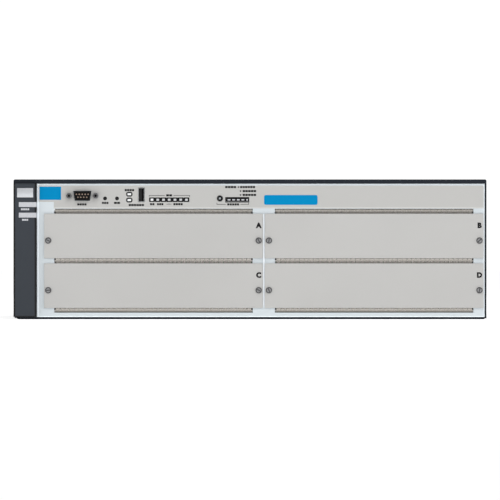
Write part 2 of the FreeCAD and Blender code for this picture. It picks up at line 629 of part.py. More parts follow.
def make_usb_port():
    """The upright USB socket: folded shell and its tongue."""
    x, z = strip_place("usb_in", "usb_drop")
    back = f"({FRONT} + 13.5)"
    inner = ("(usb_wide - 2*usb_wall)", "(usb_high - 2*usb_wall)")
    shell = new_body("usb_port_shell")
    add(shell, "XZ_Plane", f"{FRONT} - 0.5", back, middle_box(x, z, "usb_wide", "usb_high"))
    cut(shell, "XZ_Plane", f"{FRONT} - 0.5", f"{back} - usb_wall", middle_box(x, z, *inner))
    node("usb_port_shell", shell)
    tongue = new_body("usb_port_tongue")
    add(tongue, "XZ_Plane", f"{FRONT} + 1", f"{back} - usb_wall",
        middle_box(f"({x} - 0.7)", z, "1.9", "11"))
    add(tongue, "XZ_Plane", f"{back} - usb_wall - 3", f"{back} - usb_wall",
                     middle_box(x, z, *inner))
    node("usb_port_tongue", tongue)


def make_light_pipes():
    """Clear mouldings that bring the lights of the control board to the strip."""
    face = f"({FRONT} - film_thick)"
    behind = f"({PANEL_BACK} + 5)"
    x, z = strip_place("test_in", "test_drop")
    test = new_body("self_test_lights")
    add(test, "XZ_Plane", face, behind,
        *[middle_box(x, f"({z} - {step}*test_pitch)", "(light_wide - 0.1)", "(light_tall - 0.1)")
          for step in (0, 1)])
    add(test, "XZ_Plane", behind, f"{FRONT} + board_start + 3",
                   box(f"{x} - light_wide/2", BOARD_TOP, f"{x} + light_wide/2", f"{z} + light_tall/2"))
    node("self_test_lights", test)

    x, z = strip_place("status_in", "status_drop")
    status = new_body("status_lights")
    first = add(status, "XZ_Plane", face, behind,
                middle_box(x, z, "(0.7*light_wide - 0.1)", "(light_tall - 0.1)"))
    row_of(status, [first], "X_Axis", "status_pitch", "7")
    add(status, "XZ_Plane", behind, f"{FRONT} + board_start + 3",
                     box(f"{x} - light_wide/2", BOARD_TOP,
                         f"{x} + 6*status_pitch + light_wide/2", f"{z} + light_tall/2"))
    node("status_lights", status)

    x, z = strip_place("window_in", "window_drop")
    window = new_body("mode_light_window")
    add(window, "XZ_Plane", face, behind, middle_box(x, z, "(window_wide - 0.1)", "(window_high - 0.1)"))
    add(window, "XZ_Plane", behind, f"{FRONT} + board_start + 3",
                     box(f"{x} - window_wide/2", BOARD_TOP, f"{x} + window_wide/2", f"{z} + window_high/2"))
    node("mode_light_window", window)


def make_button(label, place, radius, proud):
    """A push button: cap through the panel, collar behind it and a stem to its switch."""
    x, z = strip_place(place, "button_drop")
    body = new_body(label, x, FRONT, z)
    post(body, "XZ_Plane", f"-({proud})", "panel_sheet + 0.02", radius, 16)
    add(body, "XZ_Plane", "panel_sheet + 0.02", "panel_sheet + 1",
        middle_box("0", "0", f"(2*{radius} + 2)", f"(2*{radius} + 2)"))
    add(body, "XZ_Plane", "panel_sheet + 1", "switch_front - button_travel - 0.1",
        middle_box("0", "0", f"(1.4*{radius})", f"(1.4*{radius})"))
    return node(label, body)


def make_bezel():
    """The moulded left bezel: a crowned shell with a badge recess, two light slots and snap hooks."""
    body = new_body("left_bezel")
    right = f"({LEFT} + bezel_wide)"
    low, top = "(hem_high + face_gap)", PANEL_TOP
    face, back = f"({FRONT} - bezel_proud)", f"({FRONT} + bezel_set)"
    add(body, "XZ_Plane", face, back, box(LEFT, low, right, top))
    bend(body, "bezel_round", "Z", (LEFT, face))
    bend(body, "bezel_round/2", "Z", (right, face))
    for z, inward in ((low, "(bezel_round/3)"), (top, "(-bezel_round/3)")):
        bevel(body, "YZ_Plane", f"{LEFT} - 1", f"{right} + 1", face, z, "(bezel_round/3)", inward)
    cut(body, "XZ_Plane", f"{face} + bezel_wall", back,
        box(f"{LEFT} + bezel_wall", f"{low} + bezel_wall", f"{right} - bezel_wall", f"{top} - bezel_wall"))
    middle = f"({LEFT} + bezel_wide/2 + 0.2)"
    cut(body, "XZ_Plane", face, f"{face} + badge_sink",
        middle_box(middle, f"({top} - badge_drop)", "badge_wide", "badge_high"))
    slots = [box(f"{LEFT} + light_inset", f"{top} - {drop} - light_high/2", f"{right}",
                 f"{top} - {drop} + light_high/2") for drop in ("power_drop", "fault_drop")]
    cut(body, "XZ_Plane", face, f"{FRONT} + 1", *slots)
    hooks = [middle_box(middle, f"({low} + {share}*({top} - {low}))", "(bezel_wide - 10)", "1.6")
             for share in (0.12, 0.5, 0.66)]
    add(body, "XZ_Plane", f"{face} + bezel_wall", back, *hooks)
    return node("left_bezel", body)


def make_bezel_light(label, drop):
    """A clear light bar in the bezel with its stem to the tongue of the front panel."""
    body = new_body(label, f"{LEFT} + light_inset", FRONT, f"{PANEL_TOP} - {drop}")
    wide = "(bezel_wide - light_inset)"
    half = "(light_high/2 - 0.05)"
    face = "(-bezel_proud)"
    add(body, "XZ_Plane", face, "1", box("0.05", f"-{half}", wide, half))
    bend(body, "bezel_round/2", "Z", (wide, face))
    add(body, "XZ_Plane", "1", "panel_joggle - panel_sheet",
                   box("3", f"-{half}", f"{wide} - bezel_wall - 2", half))
    return node(label, body)


def make_slot_floor():
    """The slot cage's floor, with flanges turned down to the base pan."""
    body = new_body("slot_floor")
    left, right = f"({CAGE_LEFT})", f"({CAGE_RIGHT})"
    low = f"({FLOOR_TOP} - cage_sheet)"
    add(body, "XZ_Plane", PANEL_BACK, BACKPLANE, outline(
        (left, "pan_sheet"), (f"{left} + cage_sheet", "pan_sheet"), (f"{left} + cage_sheet", low),
        (f"{right} - cage_sheet", low), (f"{right} - cage_sheet", "pan_sheet"), (right, "pan_sheet"),
        (right, FLOOR_TOP), (left, FLOOR_TOP)))
    bend(body, "cage_sheet", "Y", (left, FLOOR_TOP), (right, FLOOR_TOP))
    first = cut(body, "XY_Plane", low, FLOOR_TOP,
                box(f"{COLUMNS['left']} - 60", f"{FRONT} + 60", f"{COLUMNS['left']} + 60", f"{FRONT} + 66"))
    second = cut(body, "XY_Plane", low, FLOOR_TOP,
                 box(f"{COLUMNS['right']} - 60", f"{FRONT} + 60",
                     f"{COLUMNS['right']} + 60", f"{FRONT} + 66"))
    row_of(body, [first, second], "Y_Axis", "45", "4")
    return node("slot_floor", body)


def make_mid_shelf(side):
    """The shelf between the upper and lower slots of one column, with its side flanges."""
    label = f"mid_shelf_{side}"
    body = new_body(label, COLUMNS[side], FRONT, ROW_MID)
    half = f"({CAGE_HALF})"
    top, low = "(cage_sheet/2)", "(-cage_sheet/2)"
    foot = f"({low} - shelf_flange)"
    add(body, "XZ_Plane", "panel_sheet", "slot_depth - 4", outline(
        (f"-{half}", foot), (f"-{half} + cage_sheet", foot), (f"-{half} + cage_sheet", low),
        (f"{half} - cage_sheet", low), (f"{half} - cage_sheet", foot), (half, foot), (half, top),
        (f"-{half}", top)))
    bend(body, "cage_sheet", "Y", (f"-{half}", top), (half, top))
    first = cut(body, "XY_Plane", low, top, box("-60", "60", "60", "66"))
    row_of(body, [first], "Y_Axis", "45", "4")
    return node(label, body)


def make_slot_ceiling():
    """The sheet over the slots that carries the control board on pressed stand-offs."""
    body = new_body("slot_ceiling")
    left, right = f"({CAGE_LEFT} - cage_sheet)", f"({CAGE_RIGHT} + cage_sheet)"
    add(body, "XY_Plane", CEILING_LOW, CEILING_TOP, box(left, PANEL_BACK, right, BACKPLANE))
    spots = [(x, f"({FRONT} + {y})") for x in (f"{left} + 12", f"({left} + {right})/2", f"{right} - 12")
             for y in ("board_start + 10", "slot_depth - 20")]
    for x, y in spots:
        nut(body, "XY_Plane", CEILING_TOP, BOARD_LOW, "standoff_half", x, y)
    return node("slot_ceiling", body)


def make_divider():
    """The channel between the two columns of slots."""
    body = new_body("centre_divider")
    add(body, "XZ_Plane", PANEL_BACK, f"{BACKPLANE} - 1", outline(
        (DIVIDER_LEFT, FLOOR_TOP), (DIVIDER_RIGHT, FLOOR_TOP), (DIVIDER_RIGHT, CEILING_LOW),
        (f"{DIVIDER_RIGHT} - cage_sheet", CEILING_LOW),
        (f"{DIVIDER_RIGHT} - cage_sheet", f"{FLOOR_TOP} + cage_sheet"),
        (f"{DIVIDER_LEFT} + cage_sheet", f"{FLOOR_TOP} + cage_sheet"),
        (f"{DIVIDER_LEFT} + cage_sheet", CEILING_LOW), (DIVIDER_LEFT, CEILING_LOW)))
    bend(body, "cage_sheet", "Y", (DIVIDER_LEFT, FLOOR_TOP), (DIVIDER_RIGHT, FLOOR_TOP))
    first = cut(body, "YZ_Plane", DIVIDER_LEFT, DIVIDER_RIGHT,
                box(f"{FRONT} + 30", f"{FLOOR_TOP} + 9", f"{FRONT} + 86", f"{ROW_MID} - 9"),
                box(f"{FRONT} + 30", f"{ROW_MID} + 4", f"{FRONT} + 86", f"{CEILING_LOW} - 4"))
    row_of(body, [first], "Y_Axis", "72", "3")
    return node("centre_divider", body)


def make_cage_wall(side):
    """A side wall of the slot cage; the left one carries the fans, the right one is slotted for air."""
    label = f"cage_{side}_wall"
    body = new_body(label)
    inner = CAGE_LEFT if side == "left" else CAGE_RIGHT
    sign = "-" if side == "left" else "+"
    outer = f"({inner} {sign} cage_sheet)"
    foot = f"({outer} {sign} shelf_flange)"
    low, high = (outer, inner) if side == "left" else (inner, outer)
    add(body, "YZ_Plane", low, high, box(PANEL_BACK, "pan_sheet", BACKPLANE, CEILING_LOW))
    base = sorted((outer, foot), key=number)
    add(body, "XY_Plane", "pan_sheet", "pan_sheet + cage_sheet",
        box(base[0], f"{PANEL_BACK} + panel_return", base[1], BACKPLANE))
    if side == "left":
        wide, slope = "(fan_bore - 0.5)", "(0.414*fan_bore)"
        middle = f"({FRONT} + fan_first)"
        mouth = cut(body, "YZ_Plane", low, high, outline(
            *[(f"{middle} {a} {b}", f"{FAN_MID} {c} {d}") for a, b, c, d in (
                ("-", slope, "-", wide), ("+", slope, "-", wide), ("+", wide, "-", slope),
                ("+", wide, "+", slope), ("+", slope, "+", wide), ("-", slope, "+", wide),
                ("-", wide, "+", slope), ("-", wide, "-", slope))]))
        row_of(body, [mouth], "Y_Axis", "fan_pitch", "3")
    else:
        first = cut(body, "YZ_Plane", low, high,
                    box(f"{FRONT} + 24", f"{FLOOR_TOP} + 9", f"{FRONT} + 50", f"{ROW_MID} - 9"),
                    box(f"{FRONT} + 24", f"{ROW_MID} + 4", f"{FRONT} + 50", f"{CEILING_LOW} - 4"))
        row_of(body, [first], "Y_Axis", "37", "6")
    return node(label, body)


def make_backplane_brackets():
    """The angle on each side wall of the slot cage that the backplane is fixed to."""
    angles = []
    leg = "(1.5*shelf_flange)"
    for wall, sign in ((CAGE_LEFT, "+"), (CAGE_RIGHT, "-")):
        angle = new_body(f"bracket_{'left' if sign == '+' else 'right'}", wall, BACKPLANE)
        thin, reach = f"({sign}cage_sheet)", f"({sign}{leg})"
        add(angle, "XY_Plane", f"{ROW_MID} + cage_sheet/2 + 8", CEILING_LOW, outline(
            ("0", f"-{leg}"), (thin, f"-{leg}"), (thin, "-cage_sheet"), (reach, "-cage_sheet"),
            (reach, "0"), ("0", "0")))
        bend(angle, "cage_sheet", "Z", ("0", "0"))
        angles.append(angle)
    group("backplane_brackets", angles)


def make_card_rails(label, seat):
    """Four grooved card rails, one along each side of both columns."""
    rails = []
    for side, x in COLUMNS.items():
        for sign, turn in (("-", 1), ("+", -1)):
            name = f"{label}_{side}_{'inner' if turn > 0 else 'outer'}"
            rail = new_body(name, f"{x} {sign} ({CAGE_HALF} - rail_wide/2)", "0", seat)
            add(rail, "XZ_Plane", RAIL_FRONT, RAIL_BACK, outline(
                ("-rail_wide/2", "0"), ("rail_wide/2", "0"), ("rail_wide/2", "rail_high"),
                ("rail_groove/2", "rail_high"), ("rail_groove/2", "rail_high/2"),
                ("-rail_groove/2", "rail_high/2"), ("-rail_groove/2", "rail_high"),
                ("-rail_wide/2", "rail_high")))
            cut(rail, "XZ_Plane", RAIL_FRONT, f"{RAIL_FRONT} + 6",
                           box("-rail_wide/2 + 1", "rail_high/2", "rail_wide/2 - 1", "rail_high"))
            rails.append(rail)
    return group(label, rails)


def make_finger_strips():
    """Shielding finger strips along the slot edges, at the floor, both faces of the shelf and the ceiling."""
    strips = []
    seats = {"floor": (FLOOR_TOP, "+"), "shelf_low": (f"({ROW_MID} - cage_sheet/2)", "-"),
             "shelf_top": (f"({ROW_MID} + cage_sheet/2)", "+"), "ceiling": (CEILING_LOW, "-")}
    back = f"({PANEL_BACK} + finger_start + finger_deep)"
    start = f"({PANEL_BACK} + finger_start)"
    for side, x in COLUMNS.items():
        for name, (seat, sign) in seats.items():
            strip = new_body(f"fingers_{side}_{name}", x, "0", seat)
            half = "(6*finger_pitch - 0.9)"
            flat = sorted(("0", f"({sign}finger_sheet)"), key=number)
            add(strip, "XY_Plane", flat[0], flat[1], box(f"-{half}", f"{start} + 3.6", half, back))
            bow = add(strip, "YZ_Plane", f"-{half}", f"-{half} + finger_wide", outline(
                (f"{start} + 3.6", "0"), (start, "0"), (f"{start} + 1.8", f"{sign}finger_rise")))
            row_of(strip, [bow], "X_Axis", "finger_pitch", "12")
            strips.append(strip)
    return group("finger_strips", strips)


def make_control_board():
    """The control board over the slots: processor under a sink, chips, switches and rear connectors."""
    body = new_body("control_board")
    left, right = f"({CAGE_LEFT} + 2)", f"({CAGE_RIGHT} - 2)"
    start, end = f"({FRONT} + board_start)", f"({BACKPLANE} - 0.2)"
    add(body, "XY_Plane", BOARD_LOW, BOARD_TOP, box(left, start, right, end))

    def spot(across, back):
        return f"({left} + {across}*({right} - {left}))", f"({start} + {back}*({end} - {start}))"

    chips = ((0.3, 0.3, 27, 27), (0.65, 0.3, 35, 35), (0.8, 0.56, 24, 18), (0.17, 0.69, 20, 14))
    add(body, "XY_Plane", BOARD_TOP, f"{BOARD_TOP} + 2",
        *[middle_box(*spot(across, back), str(wide), str(deep)) for across, back, wide, deep in chips])
    x, y = spot(*chips[0][:2])
    add(body, "XY_Plane", f"{BOARD_TOP} + 2", f"{BOARD_TOP} + 12", middle_box(x, y, "sink_side", "sink_side"))
    gap = "(sink_side/16)"
    first = cut(body, "XY_Plane", f"{BOARD_TOP} + 4", f"{BOARD_TOP} + 12",
                box(f"{x} - sink_side/2 + {gap}", f"{y} - sink_side/2", f"{x} - sink_side/2 + 2*{gap}",
                    f"{y} + sink_side/2"))
    row_of(body, [first], "X_Axis", "sink_side/8", "7")
    add(body, "XY_Plane", BOARD_TOP, f"{BOARD_TOP} + 11",
        *[middle_box(spot(across, 0)[0], f"({BACKPLANE} - 8)", "60", "15") for across in (0.22, 0.73)])
    for place in ("reset_in", "clear_in", "mode_in"):
        x, z = strip_place(place, "button_drop")
        add(body, "XZ_Plane", f"{FRONT} + switch_front", f"{FRONT} + switch_front + 5",
            box(f"{x} - switch_side/2", BOARD_TOP, f"{x} + switch_side/2", f"{z} + switch_side/2"))
    return node("control_board", body)


def make_backplane():
    """The upright backplane with a connector for each slot and one for each power supply."""
    body = new_body("backplane")
    left, right = f"({CAGE_LEFT} - cage_sheet)", f"({CAGE_RIGHT} + cage_sheet)"
    top = f"({PANEL_TOP} - 4)"
    back = f"({BACKPLANE} + backplane_thick)"
    add(body, "XZ_Plane", BACKPLANE, back, box(left, "pan_sheet", right, top))
    slots = [middle_box(x, f"({z} - 3)", "70", "14") for x in COLUMNS.values() for z in ROWS.values()]
    add(body, "XZ_Plane", f"{BACKPLANE} - 11", BACKPLANE, *slots)
    add(body, "XZ_Plane", back, f"{PSU_FRONT} - 0.4",
        *[middle_box(x, "psu_high/2", "50", "12") for x in BAYS.values()])
    for x in (f"{COLUMNS['left']} - 60", f"{COLUMNS['right']} - 60"):
        first = cut(body, "XZ_Plane", BACKPLANE, back,
                    box(x, f"{ROW_MID} - 4", f"{x} + 6", f"{ROW_MID} + 10"))
        row_of(body, [first], "X_Axis", "30", "4")
    return node("backplane", body)


def make_rear_panel():
    """The rear panel: two bay openings, an air strip above them and returns to the cover."""
    body = new_body("rear_panel")
    left, right = f"({IN_LEFT} + edge_gap)", f"({IN_RIGHT} - edge_gap)"
    face = f"({REAR} - panel_sheet)"
    top = "(chassis_high - cover_sheet)"
    add(body, "XZ_Plane", face, REAR, box(left, "pan_bend_left", right, top))
    add(body, "XZ_Plane", f"{face} - 10", face,
                   box(left, f"{top} - panel_sheet", right, top),
                   box(left, "pan_side_high", f"{left} + panel_sheet", f"{top} - panel_sheet"),
                   box(f"{right} - panel_sheet", "pan_side_high", right, f"{top} - panel_sheet"))
    side = f"({PSU_HALF} + psu_lift)"
    cut(body, "XZ_Plane", face, REAR,
        box(f"{BAYS['left']} - {side}", "0", f"{BAYS['left']} + {side}", f"{PSU_LOW} + psu_high + psu_lift"),
        box(f"{BAYS['right']} - {side}", f"{PSU_LOW} + 10", f"{BAYS['right']} + {side}",
            f"{PSU_LOW} + psu_high - 6"))
    low = f"({PSU_LOW} + psu_high + 10)"
    first = cut(body, "XZ_Plane", face, REAR,
                box(f"{left} + 22", low, f"{left} + 22 + vent_wide", f"{top} - 6"))
    row_of(body, [first], "X_Axis", "1.5*vent_pitch", "19")
    fan_air = cut(body, "XZ_Plane", face, REAR,
                  box(f"{left} + 8", "26", f"{left} + 8 + vent_wide", f"{PSU_LOW} + psu_high - 6"))
    row_of(body, [fan_air], "X_Axis", "vent_pitch", "2")
    spots = [(f"{bay} {sign} ({PSU_HALF} + psu_ear/2)", f"{PSU_LOW} + psu_high/2")
             for bay in BAYS.values() for sign in "-+"]
    for x, z in spots:
        nut(body, "XZ_Plane", f"{face} - nut_long", face, "(screw_shank + running_fit + nut_wall)", x, z)
        bore(body, "XZ_Plane", f"{face} - nut_long", REAR, "screw_shank + running_fit", x, z)
    return node("rear_panel", body)


def make_fan_frame(place, label):
    """A square fan frame: round bore, corner holes, motor boss on four struts with a bearing bore."""
    body = new_body(label, f"{CAGE_LEFT} - cage_sheet", f"{FRONT} + fan_first + {place}*fan_pitch", FAN_MID)
    half = "(fan_wide/2)"
    add(body, "YZ_Plane", "-fan_deep", "0", box(f"-{half}", f"-{half}", half, half))
    bore(body, "YZ_Plane", "-fan_deep", "0", "fan_bore", sides=32)
    waist = [box(f"{a}{half}", "-fan_wide/2 + 9", f"{a}{half} {b} 3", "fan_wide/2 - 9")
             for a, b in (("-", "+"), ("", "-"))]
    cut(body, "YZ_Plane", "-fan_deep + 4", "-4", *waist)
    add(body, "YZ_Plane", "-3.5", "0", box("-fan_bore - 1", "-2", "fan_bore + 1", "2"))
    add(body, "YZ_Plane", "-3.5", "0", box("-2", "-fan_bore - 1", "2", "fan_bore + 1"))
    post(body, "YZ_Plane", "-4", "0", "fan_hub", 24)
    bore(body, "YZ_Plane", "-4", "0", "fan_shaft + running_fit")
    return node(label, body)


def make_rotor(body, label, hub, tip):
    """A fan rotor about its own X axis: cupped hub, shaft and seven leaning blades."""
    post(body, "YZ_Plane", "-fan_deep + 1.5", "-4.6", hub, 20)
    post(body, "YZ_Plane", "-4.6", "-0.6", "fan_shaft", 8)
    mid = "(-fan_deep/2)"
    blade = add(body, "XY_Plane", f"{hub} - 1", f"{tip} - 1.2", outline(
        (f"{mid} - 6.5", "-7.5"), (f"{mid} + 6.5", "6.1"), (f"{mid} + 6.5", "7.5"),
        (f"{mid} - 6.5", "-6.1")))
    blades = body.newObject("PartDesign::PolarPattern", "Blades")
    blades.Originals = [blade]
    blades.Axis = (origin_feature(body, "X_Axis"), [""])
    blades.Occurrences = 7
    body.Tip = blades
    return node(label, body)


def make_fan_rotor(place, label):
    """The rotor of one chassis fan."""
    body = new_body(label, f"{CAGE_LEFT} - cage_sheet", f"{FRONT} + fan_first + {place}*fan_pitch", FAN_MID)
    return make_rotor(body, label, "fan_hub", "(fan_bore - fan_tip_gap)")


def make_blank_plate(letter, side, level):
    """A blank plate over one slot: flat face, return flanges top and bottom, two screw holes."""
    label = f"blank_plate_{letter}"
    body = new_body(label, COLUMNS[side], FRONT, ROWS[level])
    half, high = f"({PLATE_WIDE}/2)", f"({PLATE_HIGH}/2)"
    inner = f"({MOUTH_WIDE}/2 - 1.2)"
    add(body, "XZ_Plane", "-plate_sheet", "0", box(f"-{half}", f"-{high}", half, high))
    add(body, "XZ_Plane", "0", "plate_flange",
                   box(f"-{inner}", f"{high} - plate_sheet", inner, high),
                   box(f"-{inner}", f"-{high}", inner, f"-{high} + plate_sheet"))
    for z, inward in ((high, "(-0.3*plate_sheet)"), (f"(-{high})", "(0.3*plate_sheet)")):
        bevel(body, "YZ_Plane", f"-{half}", half, "(-plate_sheet)", z, "(0.3*plate_sheet)", inward)
    for sign in ("-", ""):
        bore(body, "XZ_Plane", "-plate_sheet", "0", "screw_shank + running_fit",
             f"{sign}({half} - screw_inset)", "-screw_drop")
    return node(label, body)


def make_captive_screw(letter, column, level, hand):
    """A slotted captive screw, from its head ahead of the plate to its tip in the pressed nut."""
    label = f"plate_screw_{letter}_{hand}"
    sign = "-" if hand == "left" else "+"
    body = new_body(label, f"{COLUMNS[column]} {sign} ({PLATE_WIDE}/2 - screw_inset)", FRONT,
                    f"{ROWS[level]} - screw_drop")
    under = "(-plate_sheet)"
    top = f"({under} - screw_head_high)"
    post(body, "XZ_Plane", top, under, "screw_head", 16)
    post(body, "XZ_Plane", under, f"{under} + screw_long", "screw_shank", 8)
    cut(body, "XZ_Plane", top, f"{top} + slot_deep",
                   box("-screw_head + 0.7", "-slot_wide/2", "screw_head - 0.7", "slot_wide/2"))
    return node(label, body)


def make_power_supply():
    """The plug-in power supply: case with inlet, fan opening and ears, handle, inlet and its fan's rotor."""
    case = new_body("psu_case", BAYS["left"], REAR, PSU_LOW)
    half = PSU_HALF
    add(case, "XZ_Plane", "-psu_deep", "panel_sheet", box(f"-{half}", "0", half, "psu_high"))
    cut(case, "XZ_Plane", "-psu_deep + psu_sheet", "0",
                   box(f"-{half} + psu_sheet", "psu_sheet", f"{half} - psu_sheet", "psu_high - psu_sheet"))
    ears = [box(f"{sign}{half}", "6", f"{sign}({half} + psu_ear)", "psu_high - 3") for sign in ("-", "")]
    add(case, "XZ_Plane", "0", "panel_sheet", ears[0])
    add(case, "XZ_Plane", "0", "panel_sheet", ears[1])
    for sign in ("-", ""):
        bore(case, "XZ_Plane", "0", "panel_sheet", "screw_shank + running_fit",
             f"{sign}({half} + psu_ear/2)", "psu_high/2")
    x, z = PSU_INLET
    cut(case, "XZ_Plane", "0", "panel_sheet", middle_box(x, z, "28.4", "20.8"))
    first = cut(case, "XZ_Plane", "0", "panel_sheet",
                box(f"{PSU_FAN[0]} - 35", "psu_high/2 - 30", f"{PSU_FAN[0]} - 30", "psu_high/2 + 30"))
    row_of(case, [first], "X_Axis", "9.3", "8")
    inlet_air = cut(case, "XZ_Plane", "-psu_deep", "-psu_deep + psu_sheet",
                    box(f"-{half} + 12", "14", f"-{half} + 28", "30"))
    row_of(case, [inlet_air], "X_Axis", "28", "6")
    cut(case, "XZ_Plane", "-psu_deep", "-psu_deep + psu_sheet",
                 middle_box("0", f"(psu_high/2 - {PSU_LOW})", "54", "16"))
    node("psu_case", case)

    fan = new_body("psu_fan_frame", f"{BAYS['left']} + {PSU_FAN[0]}", f"{REAR} - 0.3",
                   f"{PSU_LOW} + psu_high/2")
    side = "(psu_fan_wide/2)"
    add(fan, "XZ_Plane", "-fan_deep", "0.3", box(f"-{side}", f"-{side}", side, side))
    bore(fan, "XZ_Plane", "-fan_deep", "0.3", f"{side} - 2.5", sides=32)
    add(fan, "XZ_Plane", "-3.5", "0.3", box(f"-{side} + 1.5", "-2", f"{side} - 1.5", "2"))
    add(fan, "XZ_Plane", "-3.5", "0.3", box("-2", f"-{side} + 1.5", "2", f"{side} - 1.5"))
    post(fan, "XZ_Plane", "-4", "0.3", "fan_hub", 24)
    bore(fan, "XZ_Plane", "-4", "0.3", "fan_shaft + running_fit")
    node("psu_fan_frame", fan)

    rotor = new_body("psu_fan_rotor", f"{BAYS['left']} + {PSU_FAN[0]}", f"{REAR} - 0.3",
                     f"{PSU_LOW} + psu_high/2")
    rotor.Placement.Rotation = FreeCAD.Rotation(vector(0, 0, 1), 90)
    make_rotor(rotor, "psu_fan_rotor", "fan_hub", f"({side} - 2.5 - fan_tip_gap)")

    inlet = new_body("psu_inlet", f"{BAYS['left']} + {x}", REAR, f"{PSU_LOW} + {z}")
    add(inlet, "XZ_Plane", "-16", "panel_sheet", middle_box("0", "0", "27.8", "20.2"))
    add(inlet, "XZ_Plane", "panel_sheet", "panel_sheet + 2", middle_box("0", "0", "31", "24"))
    cut(inlet, "XZ_Plane", "-13.5", "panel_sheet + 2", outline(
        ("-12", "-8"), ("12", "-8"), ("12", "3.5"), ("7.5", "8"), ("-7.5", "8"), ("-12", "3.5")))
    add(inlet, "XZ_Plane", "-13.5", "-0.5",
                    *[middle_box(px, pz, "2", "4") for px, pz in (("-7", "0"), ("7", "0"))],
                    middle_box("0", "4", "2", "4"))
    node("psu_inlet", inlet)

    handle = new_body("psu_handle", f"{BAYS['left']} - 2", f"{REAR} + panel_sheet", f"{PSU_LOW} + psu_high/2")
    add(handle, "YZ_Plane", "-4", "4", outline(
        ("0", "-33"), ("0", "-27"), ("17", "-27"), ("17", "27"), ("0", "27"), ("0", "33"),
        ("23", "33"), ("23", "-33")))
    bend(handle, "5", "X", ("23", "33"), ("23", "-33"))
    bend(handle, "3", "X", ("17", "27"), ("17", "-27"))
    node("psu_handle", handle)

    for hand, sign in (("left", "-"), ("right", "+")):
        label = f"psu_screw_{hand}"
        screw = new_body(label, f"{BAYS['left']} {sign} ({PSU_HALF} + psu_ear/2)", f"{REAR} + panel_sheet",
                         f"{PSU_LOW} + psu_high/2")
        post(screw, "XZ_Plane", "0", "9", "4", 18)
        post(screw, "XZ_Plane", "-screw_long", "0", "screw_shank", 8)
        cut(screw, "XZ_Plane", "9 - slot_deep", "9", box("-3.4", "-slot_wide/2", "3.4", "slot_wide/2"))
        node(label, screw)


def make_psu_blank():
    """The plate over the empty bay, and its two screws."""
    plate = new_body("psu_blank_plate", BAYS["right"], REAR, PSU_LOW)
    half = PSU_HALF
    spots = [(f"({sign}{half} {sign or '+'} psu_ear/2)", "(psu_high/2)") for sign in ("-", "")]
    add(plate, "XZ_Plane", "0", "panel_sheet",
        box(f"-{half} - psu_ear", "6", f"{half} + psu_ear", "psu_high - 3"))
    add(plate, "XZ_Plane", "-8", "0",
                    box(f"-{half} + 3", "12", f"-{half} + 4.2", "psu_high - 8"),
                    box(f"{half} - 4.2", "12", f"{half} - 3", "psu_high - 8"))
    for x, z in spots:
        bore(plate, "XZ_Plane", "0", "panel_sheet", "screw_shank + running_fit", x, z)
    node("psu_blank_plate", plate)
    screws = []
    for index, (x, z) in enumerate(spots):
        screw = new_body(f"bay_screw_{index}", f"{BAYS['right']} + {x}", f"{REAR} + panel_sheet",
                         f"{PSU_LOW} + {z}")
        post(screw, "XZ_Plane", "0", "screw_head_high", "screw_head", 16)
        post(screw, "XZ_Plane", "-5", "0", "screw_shank", 8)
        screws.append(screw)
    return group("rear_screws", screws)


def main():
    """Make every piece, check it and write its STEP file."""
    make_base_pan()
    make_outer_cover()
    make_front_panel()
    make_management_film()
    make_console_port()
    make_usb_port()
    make_light_pipes()
    make_button("reset_button", "reset_in", "small_button", "-0.3")
    make_button("clear_button", "clear_in", "small_button", "-0.3")
    make_button("light_mode_button", "mode_in", "mode_button", "1.4")
    make_bezel()
    make_bezel_light("power_light_pipe", "power_drop")
    make_bezel_light("fault_light_pipe", "fault_drop")
    make_slot_floor()
    for side in COLUMNS:
        make_mid_shelf(side)
        make_cage_wall(side)
    make_slot_ceiling()
    make_divider()
    make_card_rails("upper_card_rails", f"{ROW_MID} + cage_sheet/2")
    make_card_rails("lower_card_rails", FLOOR_TOP)
    make_finger_strips()
    make_control_board()
    make_backplane()
    make_backplane_brackets()
    make_rear_panel()
    for place, name in enumerate(("front", "middle", "rear")):
        make_fan_frame(place, f"fan_frame_{name}")
        make_fan_rotor(place, f"fan_rotor_{name}")
    for letter, side, level in (("a", "left", "upper"), ("b", "right", "upper"),
                                ("c", "left", "lower"), ("d", "right", "lower")):
        make_blank_plate(letter, side, level)
        for hand in ("left", "right"):
            make_captive_screw(letter, side, level, hand)
    make_power_supply()
    make_psu_blank()
    doc.recompute()
    check_and_export()


def check_and_export():
    """Stop at any failed object or bad shape, then write one STEP file for each node."""
    failed = [item.Name for item in doc.Objects if {"Invalid", "Error"} & set(item.State)]
    if failed:
        raise RuntimeError(f"failed objects: {failed}")
    for label, thing in NODES.items():
        if thing.Shape.isNull() or not thing.Shape.isValid():
            raise RuntimeError(f"bad shape: {label}")
    os.makedirs("parts", exist_ok=True)
    for label, thing in NODES.items():
        thing.Shape.exportStep(f"parts/{label}.step")


main()
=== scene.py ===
"""Looks of a four-slot modular switch chassis, laid out as a Blender add-on and run as a script."""

